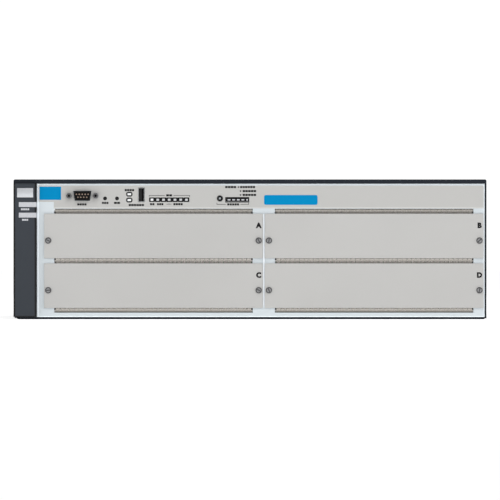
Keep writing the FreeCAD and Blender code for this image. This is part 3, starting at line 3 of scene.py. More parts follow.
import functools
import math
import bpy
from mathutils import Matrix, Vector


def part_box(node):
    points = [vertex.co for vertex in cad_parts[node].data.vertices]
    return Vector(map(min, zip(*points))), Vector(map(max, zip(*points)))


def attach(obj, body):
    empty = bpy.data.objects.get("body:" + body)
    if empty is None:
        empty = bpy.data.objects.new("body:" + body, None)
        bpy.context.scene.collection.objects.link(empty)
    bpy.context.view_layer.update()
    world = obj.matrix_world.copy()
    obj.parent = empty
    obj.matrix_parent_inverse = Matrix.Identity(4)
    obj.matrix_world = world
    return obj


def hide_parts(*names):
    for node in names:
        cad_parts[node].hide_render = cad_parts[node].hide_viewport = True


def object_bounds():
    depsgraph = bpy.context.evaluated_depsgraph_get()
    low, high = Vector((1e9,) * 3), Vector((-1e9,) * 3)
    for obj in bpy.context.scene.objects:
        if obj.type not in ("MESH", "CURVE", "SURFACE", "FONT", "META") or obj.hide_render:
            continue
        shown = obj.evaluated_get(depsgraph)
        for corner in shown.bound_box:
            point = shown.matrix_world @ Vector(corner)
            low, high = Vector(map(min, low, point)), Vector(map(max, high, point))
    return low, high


bl_info = {
    "name": "Modular Chassis Switch Dresser",
    "version": (1, 0, 0),
    "blender": (4, 5, 0),
    "location": "3D View > Sidebar > Chassis",
    "description": "Finishes, printed marks and studio stage of a four-slot modular switch chassis",
    "category": "Object",
}

import bmesh
import bpy
from bpy.props import FloatProperty, FloatVectorProperty, PointerProperty
from mathutils import Matrix, Vector

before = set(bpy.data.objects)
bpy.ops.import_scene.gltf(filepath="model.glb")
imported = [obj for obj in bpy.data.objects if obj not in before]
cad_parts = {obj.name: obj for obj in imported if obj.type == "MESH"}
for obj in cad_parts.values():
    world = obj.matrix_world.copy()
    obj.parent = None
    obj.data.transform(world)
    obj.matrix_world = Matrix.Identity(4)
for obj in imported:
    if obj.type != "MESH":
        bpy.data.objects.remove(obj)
CAD_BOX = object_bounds()
MM = 0.001


# -------- places read from the frame

def low(node):
    """Lowest corner of a CAD node, in metres."""
    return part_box(node)[0]


def high(node):
    """Highest corner of a CAD node, in metres."""
    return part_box(node)[1]


def middle(node):
    """Middle of a CAD node's box, in metres."""
    return (low(node) + high(node)) / 2


def mm(*values):
    """Lengths in metres from millimetres."""
    return [value * MM for value in values]


FILM_FACE = low("management_film").y
PLATE_FACE = low("blank_plate_a").y
BEZEL_FACE = low("left_bezel").y
PANEL_TOP = high("front_panel").z
PANEL_LEFT = high("left_bezel").x + 0.1 * MM
SHEET = 1.2 * MM
PANEL_BACK = low("front_panel").y + SHEET


def strip_xz(across, drop):
    """A place on the management strip, by millimetres from the panel's left edge and its top."""
    return PANEL_LEFT + across * MM, PANEL_TOP - drop * MM


TEST_SPOTS = [strip_xz(87.1, 10.1 + 5.5 * row) for row in range(2)]
STATUS_SPOTS = [strip_xz(108.4 + 5.4 * index, 15.3) for index in range(7)]
SMALL_BUTTONS = strip_xz(64.3, 14.1), strip_xz(75.5, 14.1)
LIGHT_BUTTON = strip_xz(172.2, 14.1)
SCREWS = [(letter, hand) for letter in "abcd" for hand in ("left", "right")]
FACING = Matrix.Rotation(math.pi / 2, 4, "X")
WHITE = (1.0, 1.0, 1.0, 1.0)

# Borders that get painted light of their own: painted highlights along the panel's bends and the film's lower
# edge, painted shade along the bezel's edges. Each row holds an axis, a place on it, the side that faces out,
# and a reach in millimetres.
PANEL_BEND_HIGHLIGHTS = (("X", PANEL_LEFT, -1, 2.2), ("X", high("front_panel").x, 1, 0.9),
               ("Z", low("front_panel").z, -1, 0.8))
BEZEL_EDGE_SHADE = (("X", low("left_bezel").x, -1, 1.7), ("X", high("left_bezel").x, 1, 1.6),
               ("Z", low("left_bezel").z, -1, 0.9))
FILM_EDGE_HIGHLIGHT = (("Z", low("management_film").z, -1, 1.1),)


# -------- settings

def colour(label, default, description):
    """A colour setting, given in linear light."""
    return FloatVectorProperty(name=label, description=description, default=default, size=3,
                               subtype="COLOR", min=0.0, max=1.0)


def number(label, default, description, **kind):
    """A number setting that is never below nought."""
    return FloatProperty(name=label, description=description, default=default, min=0.0, **kind)


def length(label, default, description):
    """A length setting in metres."""
    return number(label, default, description, subtype="DISTANCE", unit="LENGTH")


class FinishSettings(bpy.types.PropertyGroup):
    """Colours of the chassis's finishes."""

    cover: colour("Cover paint", (0.0068, 0.0102, 0.0168), "Dark textured paint of the cover and pan")
    bezel: colour("Bezel plastic", (0.034, 0.040, 0.049), "Dark grey moulding on the left")
    panel: colour("Panel paint", (0.585, 0.635, 0.665), "Pale blue-grey paint of the front panel")
    plate: colour("Plate paint", (0.462, 0.458, 0.447), "Warm grey paint of the blank plates")
    film: colour("Strip film", (0.458, 0.455, 0.442), "Warm grey printed film of the management strip")
    zinc: colour("Zinc coat", (0.47, 0.485, 0.50), "Bright zinc coat of the inner sheet steel")
    ink: colour("Dark ink", (0.008, 0.008, 0.009), "Printed marks on the film")
    label: colour("Blue label", (0.0, 0.225, 0.475), "Bare blue fields on the strip")
    board: colour("Solder mask", (0.012, 0.105, 0.045), "Green boards")
    copper: colour("Finger coat", (0.455, 0.43, 0.395), "Tinned shielding fingers")


class PrintSettings(bpy.types.PropertyGroup):
    """Sizes of the printed marks."""

    ink_thick: length("Ink thickness", 0.04 * MM, "How far printed marks stand off the film")
    hair_line: length("Thin line", 0.4 * MM, "Width of the thin brackets round the captions")
    dash: length("Caption dash", 2.1 * MM, "Length of one dash of a blind caption")
    dash_high: length("Caption height", 1.95 * MM, "Height of a blind caption")
    letter_high: length("Slot letter", 4.6 * MM, "Height of a slot's letter")


class SpringSettings(bpy.types.PropertyGroup):
    """Sizes of the shielding fingers."""

    pitch: length("Finger pitch", 4.4 * MM, "From one shielding finger to the next")
    slit: length("Slit", 0.45 * MM, "Gap between two fingers")
    rise: length("Rise", 1.95 * MM, "How far a finger bows off its sheet")


class StageSettings(bpy.types.PropertyGroup):
    """Floor, lights and camera."""

    distance: length("Camera distance", 6.0, "From the camera to the front panel")
    width_seen: length("Width seen", 469.9 * MM, "What the picture's width takes in at the panel")
    key_power: number("Key light", 26.0, "Power of the large light over the front", unit="POWER")
    fill_power: number("Fill light", 12.0, "Power of each side light", unit="POWER")
    sky: number("Sky", 0.42, "Strength of the white surroundings")
    floor_glow: number("Floor glow", 0.62, "Light given off by the pale floor")


# -------- shader maths

class Wire:
    """A shader socket that takes Python's operators and adds the Math nodes they need."""

    def __init__(self, paint, socket):
        self.paint = paint
        self.socket = socket

    def maths(self, operation, *values):
        return self.paint.node("ShaderNodeMath", {"operation": operation}, dict(enumerate(values)))

    def __add__(self, other):
        return self.maths("ADD", self, other)

    def __sub__(self, other):
        return self.maths("SUBTRACT", self, other)

    def __mul__(self, other):
        return self.maths("MULTIPLY", self, other)

    def __rsub__(self, other):
        return self.maths("SUBTRACT", other, self)

    __radd__ = __add__
    __rmul__ = __mul__

    def above(self, level, soft=0.02):
        """Nought under a level, one over it, with a soft edge."""
        return self.paint.node("ShaderNodeMapRange", {"interpolation_type": "SMOOTHSTEP"},
                               {"Value": self, "From Min": level - soft, "From Max": level + soft})


class Paint:
    """One material being made, with its Principled shader."""

    def __init__(self, name):
        self.material = bpy.data.materials.new(name)
        self.material.use_nodes = True
        self.tree = self.material.node_tree
        self.tree.nodes.clear()
        self.shader = self.tree.nodes.new("ShaderNodeBsdfPrincipled")
        output = self.tree.nodes.new("ShaderNodeOutputMaterial")
        self.tree.links.new(self.shader.outputs["BSDF"], output.inputs["Surface"])

    def node(self, kind, settings=None, inputs=None, output=0):
        """Add a node, set it up, feed its sockets and return one of its outputs."""
        made = self.tree.nodes.new(kind)
        for key, value in (settings or {}).items():
            setattr(made, key, value)
        for key, value in (inputs or {}).items():
            self.feed(made.inputs[key], value)
        return Wire(self, made.outputs[output])

    def feed(self, socket, value):
        """Link a wire to a socket, or set the socket's own value."""
        if isinstance(value, Wire):
            self.tree.links.new(value.socket, socket)
        else:
            socket.default_value = value

    def place(self):
        """The object's own coordinates, in metres."""
        return self.node("ShaderNodeTexCoord", output="Object")

    def axis(self, name):
        """One coordinate of the place."""
        return self.node("ShaderNodeSeparateXYZ", inputs={"Vector": self.place()}, output="XYZ".index(name))

    def noise(self, scale, detail=2.0, roughness=0.5, stretch=(1.0, 1.0, 1.0)):
        """A noise of the given number of features in a metre."""
        placed = self.node("ShaderNodeMapping", inputs={"Vector": self.place(), "Scale": stretch})
        return self.node("ShaderNodeTexNoise", {"noise_dimensions": "3D"},
                         {"Vector": placed, "Scale": scale, "Detail": detail, "Roughness": roughness})

    def mix(self, factor, first, second):
        """A colour between two colours."""
        return self.node("ShaderNodeMix", {"data_type": "RGBA"},
                         {0: factor, 6: as_rgba(first), 7: as_rgba(second)}, output=2)

    def between(self, factor, tint, least, most):
        """A tint whose strength swings between two shares of it."""
        return self.mix(factor, tinted(tint, least), tinted(tint, most))

    def bump(self, height, distance):
        """Relief on the shader's normal; the distance is in metres."""
        self.feed(self.shader.inputs["Normal"], self.node(
            "ShaderNodeBump", inputs={"Height": height, "Distance": distance, "Strength": 1.0}))

    def set(self, **sockets):
        """Set or link the shader's sockets; an underscore in a key stands for a space."""
        for key, value in sockets.items():
            self.feed(self.shader.inputs[key.replace("_", " ")], value)
        return self


def as_rgba(tint):
    """Four values for a colour socket, or the wire itself."""
    return tint if isinstance(tint, Wire) else (*tint[:3], 1.0)


def tinted(tint, share):
    """A colour made lighter or darker."""
    return tuple(min(1.0, part * share) for part in tint[:3])


# -------- finishes

def textured_paint(name, tint, rough, grain, relief, gloss=0.5, borders=()):
    """Powder coat: fine orange peel, a slow random drift of tone, lighter specks as painted glints and, where
    borders are given, painted highlights along the bends.
    """
    paint = Paint(name)
    peel = paint.noise(grain, 3.0, 0.55)
    shade = paint.between(paint.noise(9.0).above(0.5, 0.25), tint, 0.98, 1.02)
    # Painted highlight: the colour turns 1.5 times lighter close to the given bends.
    shade = bordered(paint, shade, borders, tinted(tint, 1.5))
    # Painted glints: a few lighter specks mixed into the base colour.
    painted_glint = paint.noise(grain * 2.6, 1.0).above(0.62, 0.06)
    paint.set(Base_Color=paint.mix(painted_glint * 0.35, shade, tinted(tint, 1.10)),
              Roughness=peel * 0.10 + (rough - 0.05), IOR=1.48, Specular_IOR_Level=gloss)
    paint.bump(peel, relief)
    return paint.material


def bordered(paint, shade, borders, painted_edge_light_and_shade):
    """A colour that turns lighter or darker close to the given borders: a painted highlight or painted shade,
    as the caller gives it.
    """
    mask = None
    for axis, place, sign, reach in borders:
        inside = (paint.axis(axis) * sign).above(place * sign - reach * MM, 0.2 * reach * MM)
        mask = mask.maths("MAXIMUM", mask, inside) if mask else inside
    return paint.mix(mask, shade, painted_edge_light_and_shade) if mask else shade


def moulded_plastic(name, tint, rough, borders=()):
    """Spark-eroded plastic: fine even grain, a slight drift of gloss and, where borders are given, painted
    shade along the outer edges.
    """
    paint = Paint(name)
    grains = paint.noise(2600.0, 2.0, 0.6)
    drift = paint.noise(22.0)
    # Painted shade: the colour falls to a small share of the tint close to the given edges.
    shade = bordered(paint, paint.between(drift, tint, 0.97, 1.03), borders, tinted(tint, 0.06))
    paint.set(Base_Color=shade, Roughness=grains * 0.12 + drift * 0.06 + (rough - 0.09), IOR=1.47,
              Specular_IOR_Level=0.25)
    paint.bump(grains, 0.02 * MM)
    return paint.material


def zinc_sheet(name, tint):
    """Zinc-coated sheet: soft spangle patches and faint rolling lines."""
    paint = Paint(name)
    spangle = paint.node("ShaderNodeTexVoronoi", {"feature": "SMOOTH_F1"},
                         {"Vector": paint.place(), "Scale": 150.0, "Smoothness": 0.5}, output="Color")
    patch = paint.node("ShaderNodeSeparateColor", inputs={"Color": spangle})
    lines = paint.noise(60.0, stretch=(1.0, 22.0, 22.0))
    paint.set(Base_Color=paint.between(patch * 0.5 + lines * 0.5, tint, 0.80, 1.12), Metallic=0.85,
              Roughness=patch * 0.10 + lines * 0.06 + 0.26)
    paint.bump(lines, 0.01 * MM)
    return paint.material


def clouded(name, tint, scale, shades, rough, spread, relief, detail=2.0, **sockets):
    """A finish whose shade, gloss and relief all follow one fine noise."""
    paint = Paint(name)
    cloud = paint.noise(scale, detail)
    paint.set(Base_Color=paint.between(cloud, tint, *shades),
              Roughness=cloud * spread + (rough - spread / 2), **sockets)
    paint.bump(cloud, relief * MM)
    return paint.material


def plated_metal(name, tint, rough, metallic=1.0):
    """Bright plating with a faint cloud in its gloss."""
    return clouded(name, tint, 700.0, (0.9, 1.05), rough, 0.14, 0.006, 3.0, Metallic=metallic)


def flat_ink(name, tint, rough=0.55, gloss=0.15):
    """Screen-printed ink with a slightly uneven lay."""
    return clouded(name, tint, 1500.0, (0.96, 1.04), rough, 0.10, 0.004, Specular_IOR_Level=gloss)


def clear_moulding(name, tint):
    """Milky clear plastic of a light pipe."""
    return clouded(name, tint, 900.0, (0.95, 1.04), 0.27, 0.10, 0.01, IOR=1.49, Subsurface_Weight=0.25,
                   Subsurface_Radius=(0.004, 0.004, 0.004), Coat_Weight=0.4)


def printed_film(name, tint):
    """Matt polyester film over print: a very fine tooth, hardly any gloss and a painted highlight along its
    lower edge.
    """
    paint = Paint(name)
    tooth = paint.noise(4200.0)
    shade = paint.between(paint.noise(12.0), tint, 0.99, 1.01)
    # Painted highlight: the colour turns 1.2 times lighter along the film's lower edge.
    paint.set(Base_Color=bordered(paint, shade, FILM_EDGE_HIGHLIGHT, tinted(tint, 1.2)),
              Roughness=tooth * 0.10 + 0.50, IOR=1.5)
    paint.bump(tooth, 0.004 * MM)
    return paint.material


def board_laminate(name, tint):
    """Green board: solder mask with the shadow of its copper tracks."""
    paint = Paint(name)
    tones = {key: as_rgba(tinted(tint, share))
             for key, share in (("Color1", 0.8), ("Color2", 1.25), ("Mortar", 1.6))}
    weave = paint.node("ShaderNodeTexBrick", {"offset": 0.5},
                       {"Vector": paint.place(), "Scale": 180.0, "Mortar Size": 0.03, **tones}, "Color")
    cloud = paint.noise(300.0)
    paint.set(Base_Color=paint.mix(cloud, weave, tint), Roughness=cloud * 0.12 + 0.30)
    paint.bump(cloud, 0.02 * MM)
    return paint.material


@functools.cache
def finish(name):
    """A material of this chassis, made when it is first asked for."""
    tints = bpy.context.scene.chassis_finish
    fine = 0.012 * MM
    finishes = {
        textured_paint: {
            "cover_paint": [tints.cover, 0.48, 1500.0, 0.03 * MM, 0.25],
            # The panel paint carries painted highlights along its bends.
            "panel_paint": [tints.panel, 0.42, 1700.0, fine, 0.5, PANEL_BEND_HIGHLIGHTS],
            # A pale paint for the bead between the plates: a painted highlight.
            "bead_paint": [(0.80, 0.85, 0.89), 0.35, 1700.0, fine / 2],
            "plate_paint": [tints.plate, 0.50, 1900.0, fine]},
        moulded_plastic: {
            # The bezel carries painted shade along its edges.
            "bezel_plastic": [tints.bezel, 0.50, BEZEL_EDGE_SHADE],
            "black_plastic": [(0.012, 0.012, 0.013), 0.48],
            "button_grey": [(0.36, 0.38, 0.40), 0.42]},
        plated_metal: {
            "plating": [(0.66, 0.67, 0.68), 0.22],
            "dark_plating": [(0.16, 0.16, 0.165), 0.36, 0.9],
            "screw_metal": [(0.33, 0.33, 0.335), 0.3, 0.9],
            # A dark metal for the ferrules and the slot floors: painted shade.
            "collar_metal": [(0.10, 0.10, 0.105), 0.4, 0.7],
            "black_metal": [(0.018, 0.018, 0.02), 0.42, 0.5],
            "pin_metal": [(0.50, 0.37, 0.30), 0.34, 0.6],
            "badge_metal": [(0.62, 0.64, 0.67), 0.36, 0.8],
            "gold": [(0.83, 0.62, 0.26), 0.2],
            "fingers": [tints.copper, 0.26],
            # A darker copy of the finger coat: painted shade.
            "fingers_low": [tinted(tints.copper, 0.56), 0.34]},
        clear_moulding: {
            "bright_lens": [(0.80, 0.81, 0.82)],
            "light_bar": [(0.52, 0.53, 0.56)],
            "lens": [(0.55, 0.56, 0.57)]},
        flat_ink: {
            "ink": [tints.ink],
            "label_blue": [tints.label, 0.6, 0.05],
            "pale_ink": [(0.55, 0.56, 0.59)]},
        printed_film: {"film": [tints.film]},
        zinc_sheet: {"zinc": [tints.zinc]},
        board_laminate: {"board": [tints.board]},
    }
    maker = next(maker for maker, rows in finishes.items() if name in rows)
    return maker(name, *finishes[maker][name])


def dress(material, *nodes):
    """Give CAD nodes a material of this chassis."""
    for node in nodes:
        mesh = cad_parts[node].data
        mesh.materials.clear()
        mesh.materials.append(finish(material))


# -------- making pieces

def new_object(name, make, material):
    """An object in the scene from a function that draws its mesh."""
    form = bmesh.new()
    make(form)
    mesh = bpy.data.meshes.new(name)
    form.to_mesh(mesh)
    form.free()
    mesh.materials.append(material)
    made = bpy.data.objects.new(name, mesh)
    bpy.context.scene.collection.objects.link(made)
    return made


def piece(name, draw, material, smooth_angle=None, body="chassis"):
    """A finished piece that rides on a body, from a function that draws it into a bmesh."""
    def make(form):
        draw(form)
        bmesh.ops.remove_doubles(form, verts=form.verts, dist=0.001 * MM)
        bmesh.ops.recalc_face_normals(form, faces=form.faces)

    made = new_object(name, make, finish(material))
    if smooth_angle:
        made.data.shade_smooth()
        made.data.set_sharp_from_angle(angle=smooth_angle)
    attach(made, body)
    return made


def boxes(name, rows, material, smooth_angle=None, body="chassis"):
    """A piece made of boxes; a row holds what block takes after the form."""
    def draw(form):
        for row in rows:
            block(form, *row)

    return piece(name, draw, material, smooth_angle, body)


def printed(name, draw, material="ink", face=FILM_FACE, body="chassis"):
    """A printed mark: flat faces drawn on a face of the front and raised by the ink's thickness."""
    def make(form):
        draw(form, face)
        grow(form, form.faces, bpy.context.scene.chassis_print.ink_thick)

    return piece(name, make, material, body=body)


def linked(made, kind):
    """The edges or the faces round the corners of a fresh shape, each once and always in one order."""
    return list(dict.fromkeys(item for vert in made["verts"] for item in getattr(vert, f"link_{kind}")))


def move_fresh(form, made, way):
    """Move the corners that an extrusion has made."""
    verts = [item for item in made["geom"] if isinstance(item, bmesh.types.BMVert)]
    bmesh.ops.translate(form, verts=verts, vec=way)


def grow(form, faces, rise):
    """Extrude faces towards the viewer of the front and give back the faces that have moved."""
    made = bmesh.ops.extrude_face_region(form, geom=list(faces))
    move_fresh(form, made, (0.0, -rise, 0.0))
    return [item for item in made["geom"] if isinstance(item, bmesh.types.BMFace)]


def round_edges(form, edges, offset, segments=3):
    """Round edges off."""
    bmesh.ops.bevel(form, geom=edges, offset=offset, segments=segments, profile=0.5, affect="EDGES",
                    material=-1)


def panel_of(form, x, z, wide, tall, face):
    """A flat rectangle on the front, by its middle and size in metres; gives back its one face."""
    size = Matrix.Diagonal((wide / 2, tall / 2, 1.0, 1.0))
    made = bmesh.ops.create_grid(form, x_segments=1, y_segments=1, size=1.0,
                                 matrix=Matrix.Translation((x, face, z)) @ FACING @ size)
    return linked(made, "faces")[0]


def ring_of(form, x, z, outer, inner, face):
    """A flat ring on the front."""
    made = bmesh.ops.create_circle(form, cap_ends=True, segments=32, radius=outer,
                                   matrix=Matrix.Translation((x, face, z)) @ FACING)
    hollow(form, linked(made, "faces"), outer - inner)


def hollow(form, faces, rim):
    """Leave only a rim of the faces."""
    bmesh.ops.inset_region(form, faces=faces, thickness=rim, use_boundary=True, use_even_offset=True)
    bmesh.ops.delete(form, geom=faces, context="FACES")


def label_of(form, x, z, wide, tall, corner, face, segments=4):
    """A flat rectangle with rounded corners on the front."""
    panel = panel_of(form, x, z, wide, tall, face)
    bmesh.ops.bevel(form, geom=list(panel.verts), offset=corner, segments=segments, profile=0.5,
                    affect="VERTICES", material=-1)


def frame_of(form, x, z, wide, tall, rim, corner, face):
    """A flat frame with rounded corners on the front."""
    before = set(form.faces)
    label_of(form, x, z, wide, tall, corner, face)
    fresh = [item for item in form.faces if item not in before and item.calc_area() > 0.5 * wide * tall]
    hollow(form, fresh, rim)


def block(form, x, y, z, wide, deep, tall, round_off=0.0, segments=2):
    """A box by its middle and size in metres, with rounded edges where asked."""
    spot = Matrix.Translation((x, y, z)) @ Matrix.Diagonal((wide, deep, tall, 1.0))
    made = bmesh.ops.create_cube(form, size=1.0, matrix=spot)
    if round_off:
        round_edges(form, linked(made, "edges"), round_off, segments)


def drum(form, x, y, z, radius, deep, segments, round_off=0.0):
    """A solid cylinder along Y by its middle, with its front rim rounded where asked."""
    made = bmesh.ops.create_cone(form, cap_ends=True, segments=segments, radius1=radius, radius2=radius,
                                 depth=deep, matrix=Matrix.Translation((x, y, z)) @ FACING)
    if round_off:
        front = y - deep / 2
        round_edges(form, [edge for edge in linked(made, "edges")
                           if all(abs(vert.co.y - front) < 1e-6 for vert in edge.verts)], round_off)
    return made


# -------- operators

class Dresser:
    """What the operators of this chassis share."""

    bl_options = {"REGISTER", "UNDO"}


class CHASSIS_OT_sheet_metal(Dresser, bpy.types.Operator):
    """Finish the cover, pan, panels, plates and slot cage."""

    bl_idname = "chassis.sheet_metal"
    bl_label = "Sheet metal"

    def execute(self, context):
        dress("cover_paint", "outer_cover", "base_pan")
        dress("panel_paint", "front_panel")
        dress("plate_paint", *[f"blank_plate_{letter}" for letter in "abcd"])
        dress("zinc", "slot_floor", "slot_ceiling", "mid_shelf_left", "mid_shelf_right", "centre_divider",
              "cage_left_wall", "cage_right_wall", "backplane_brackets", "rear_panel", "psu_case",
              "psu_blank_plate")
        self.mullion()
        return {"FINISHED"}

    def mullion(self):
        """A rounded bead between the left and right plates, whose pale paint is a painted highlight standing
        in for the bright line of the panel between them.
        """
        left, right = high("blank_plate_a").x, low("blank_plate_b").x
        foot, top = low("blank_plate_c").z, high("blank_plate_a").z
        bead = ((left + right) / 2, low("front_panel").y - 0.45 * MM, (foot + top) / 2,
                right - left - 0.5 * MM, 1.3 * MM, top - foot, 0.4 * MM, 3)
        boxes("mullion_bead", [bead], "bead_paint", 0.6)


class CHASSIS_OT_mouldings(Dresser, bpy.types.Operator):
    """Finish the bezel, fans, rails, buttons, light pipes and boards."""

    bl_idname = "chassis.mouldings"
    bl_label = "Mouldings and boards"

    def execute(self, context):
        dress("bezel_plastic", "left_bezel")
        fans = [f"fan_{part}_{place}" for part in ("frame", "rotor") for place in ("front", "middle", "rear")]
        dress("black_plastic", "console_port_insert", "usb_port_tongue", "upper_card_rails",
              "lower_card_rails", "psu_fan_frame", "psu_fan_rotor", "psu_inlet", "psu_handle",
              "reset_button", "clear_button", *fans)
        dress("button_grey", "light_mode_button")
        dress("light_bar", "power_light_pipe", "fault_light_pipe")
        dress("lens", "self_test_lights", "status_lights")
        dress("ink", "mode_light_window")
        dress("film", "management_film")
        dress("board", "control_board", "backplane")
        return {"FINISHED"}


class CHASSIS_OT_fittings(Dresser, bpy.types.Operator):
    """Finish the connectors and screws."""

    bl_idname = "chassis.fittings"
    bl_label = "Fittings"

    def execute(self, context):
        dress("plating", "usb_port_shell", "rear_screws")
        dress("black_metal", "console_port_shell")
        dress("dark_plating", "console_jackscrews")
        self.cover_screws()
        return {"FINISHED"}

    def cover_screws(self):
        """Low crowned screws along the foot of the cover's sides, each with a flat black cross on its head:
        painted shade standing in for a cross recess.
        """
        start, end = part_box("outer_cover")
        z, radius, tall, crown = start.z + 7.6 * MM, 3.3 * MM, 0.6 * MM, 0.35 * MM
        spots = [(x, sense, start.y + share * (end.y - start.y)) for x, sense in ((start.x, -1), (end.x, 1))
                 for share in (0.16, 0.42, 0.68, 0.94)]

        def heads(form):
            for x, sense, y in spots:
                spot = Matrix.Translation((x + sense * 0.25 * MM, y, z)) @ Matrix.Rotation(
                    sense * math.pi / 2, 4, "Y")
                made = bmesh.ops.create_cone(form, cap_ends=True, segments=28, radius1=radius,
                                             radius2=radius, depth=tall, matrix=spot)
                round_edges(form, [edge for edge in linked(made, "edges")
                                   if all(abs(vert.co.x - x) > 0.4 * MM for vert in edge.verts)], crown)

        piece("cover_screw_heads", heads, "dark_plating", 0.6)
        # Flat black crosses on the heads: painted shade of the cross recesses.
        crosses = [(x + sense * 0.53 * MM, y, z, *mm(0.08, deep, tall)) for x, sense, y in spots
                   for deep, tall in ((3.2, 0.7), (0.7, 3.2))]
        boxes("cover_screw_crosses", crosses, "black_metal")


class CHASSIS_OT_strip_marks(Dresser, bpy.types.Operator):
    """Print the bare blue fields, light frames, blind captions and brackets on the management strip."""

    bl_idname = "chassis.strip_marks"
    bl_label = "Strip marks"

    def execute(self, context):
        self.blue_fields()
        self.light_frames()
        self.captions(context.scene.chassis_print)
        self.brackets(context.scene.chassis_print.hair_line)
        self.rings()
        return {"FINISHED"}

    def blue_fields(self):
        """The square label at the left and the rounded one past the lights, both bare."""
        def field(spot, *sizes):
            return lambda form, face: label_of(form, *strip_xz(*spot), *mm(*sizes), face)

        printed("left_blue_field", field((12.85, 9.2), 20.3, 12.4, 0.5), "label_blue")
        printed("round_blue_field", field((238.85, 15.5), 50.3, 9.2, 1.6), "label_blue")

    def light_frames(self):
        """Dark frames round the self-test lights and the row of status lights."""
        def frames(form, face):
            for spots, sizes in ((TEST_SPOTS, (6.0, 4.6, 1.35, 1.9)), (STATUS_SPOTS, (5.4, 4.3, 1.4, 0.6))):
                for x, z in spots:
                    frame_of(form, x, z, *mm(*sizes), face)

        printed("light_frames", frames)

    def captions(self, sizes):
        """Rows of short dashes where the captions stand."""
        words = ((38.0, 47.0, 19.7), (61.2, 67.6, 18.3), (72.6, 78.5, 18.3), (82.6, 91.8, 6.3),
                 (86.4, 101.0, 20.3), (106.4, 110.8, 19.5), (113.0, 119.2, 19.5), (128.4, 137.4, 19.5),
                 (121.6, 127.4, 11.2), (179.0, 190.4, 19.7), (177.0, 187.6, 3.4), (191.0, 205.4, 3.4),
                 (193.4, 206.4, 7.2), (193.4, 206.4, 10.8))
        gap = corner = 0.3 * MM

        def draw(form, face):
            for start, end, drop in words:
                count = max(1, round((end - start) * MM / (sizes.dash + gap)))
                step = (end - start) * MM / count
                x, z = strip_xz(start, drop)
                for index in range(count):
                    label_of(form, x + (index + 0.5) * step, z, step - gap, sizes.dash_high, corner, face, 2)

        printed("blind_captions", draw)

    def brackets(self, line):
        """Thin brackets that tie a caption to its lights, and the small square keys."""
        rows = ((105.6, 120.4, 11.3, 105.6, 1.3), (128.6, 144.0, 11.3, 144.0, 1.3),
                (122.0, 126.6, 19.5, 124.3, -0.9), (169.2, 177.8, 19.7, 169.2, -1.6),
                (191.6, 199.4, 19.7, 199.4, -1.6))
        keys = ((189.6, 3.4), (191.6, 7.2), (191.6, 10.8))

        def draw(form, face):
            for start, end, drop, tick_at, tick in rows:
                x, z = strip_xz((start + end) / 2, drop)
                panel_of(form, x, z, (end - start) * MM, line, face)
                side = -1 if tick_at == start else (1 if tick_at == end else 0)
                tick_x, tick_z = strip_xz(tick_at, drop + tick / 2)
                panel_of(form, tick_x - side * line / 2, tick_z - math.copysign(line / 4, tick), line,
                         abs(tick) * MM - line / 2, face)
            for key in keys:
                panel_of(form, *strip_xz(*key), *mm(1.3, 1.3), face)

        printed("thin_brackets", draw)

    def rings(self):
        """Dark rings round the two small buttons and the light button."""
        def draw(form, face):
            for x, z in SMALL_BUTTONS:
                ring_of(form, x, z, *mm(1.8, 1.42), face)
            ring_of(form, *LIGHT_BUTTON, *mm(2.9, 2.45), face)

        printed("button_rings", draw)
        printed("light_button_ring",
                lambda form, face: ring_of(form, *LIGHT_BUTTON, *mm(2.35, 0.95), face),
                "ink", low("light_mode_button").y, "light_mode_button")


class CHASSIS_OT_slot_letters(Dresser, bpy.types.Operator):
    """Print the letters A to D on the blank plates and square off the plates' edges."""

    bl_idname = "chassis.slot_letters"
    bl_label = "Slot letters"

    def execute(self, context):
        tall = context.scene.chassis_print.letter_high
        for letter in "abcd":
            start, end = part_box(f"blank_plate_{letter}")
            spot = Vector((end.x - 3.8 * MM, PLATE_FACE, end.z - 11.1 * MM))
            printed(f"slot_letter_{letter}", self.drawer(letter.upper(), spot, tall), "ink", PLATE_FACE,
                    f"plate_{letter}")
            boxes(f"plate_hems_{letter}", self.hems(start, end), "plate_paint",
                  body=f"plate_{letter}")
        return {"FINISHED"}

    def hems(self, start, end):
        """Rows of the folded hems that square off a plate's upper and lower edges."""
        fold, above, below, deep, corner = mm(0.45, 0.15, 0.4, 1.0, 0.08)
        reaches = ((end.z - fold, end.z + above), (start.z + fold, start.z - below))
        return [((start.x + end.x) / 2, PLATE_FACE + deep / 2 - 0.01 * MM, (inside + outside) / 2,
                 end.x - start.x, deep, abs(outside - inside), corner, 1) for inside, outside in reaches]

    def drawer(self, letter, spot, tall):
        """What draws one letter, from Blender's own font made a little bolder."""
        def draw(form, face):
            outline = bpy.data.curves.new("letter", "FONT")
            outline.body = letter
            outline.align_x = outline.align_y = "CENTER"
            outline.size = tall * 1.4
            outline.offset = tall * 0.1
            outline.resolution_u = 4
            holder = bpy.data.objects.new("letter", outline)
            flat = bpy.data.meshes.new_from_object(holder)
            form.from_mesh(flat)
            bmesh.ops.transform(form, matrix=Matrix.Translation(spot) @ FACING, verts=form.verts)
            bpy.data.objects.remove(holder)
            bpy.data.curves.remove(outline)
            bpy.data.meshes.remove(flat)

        return draw


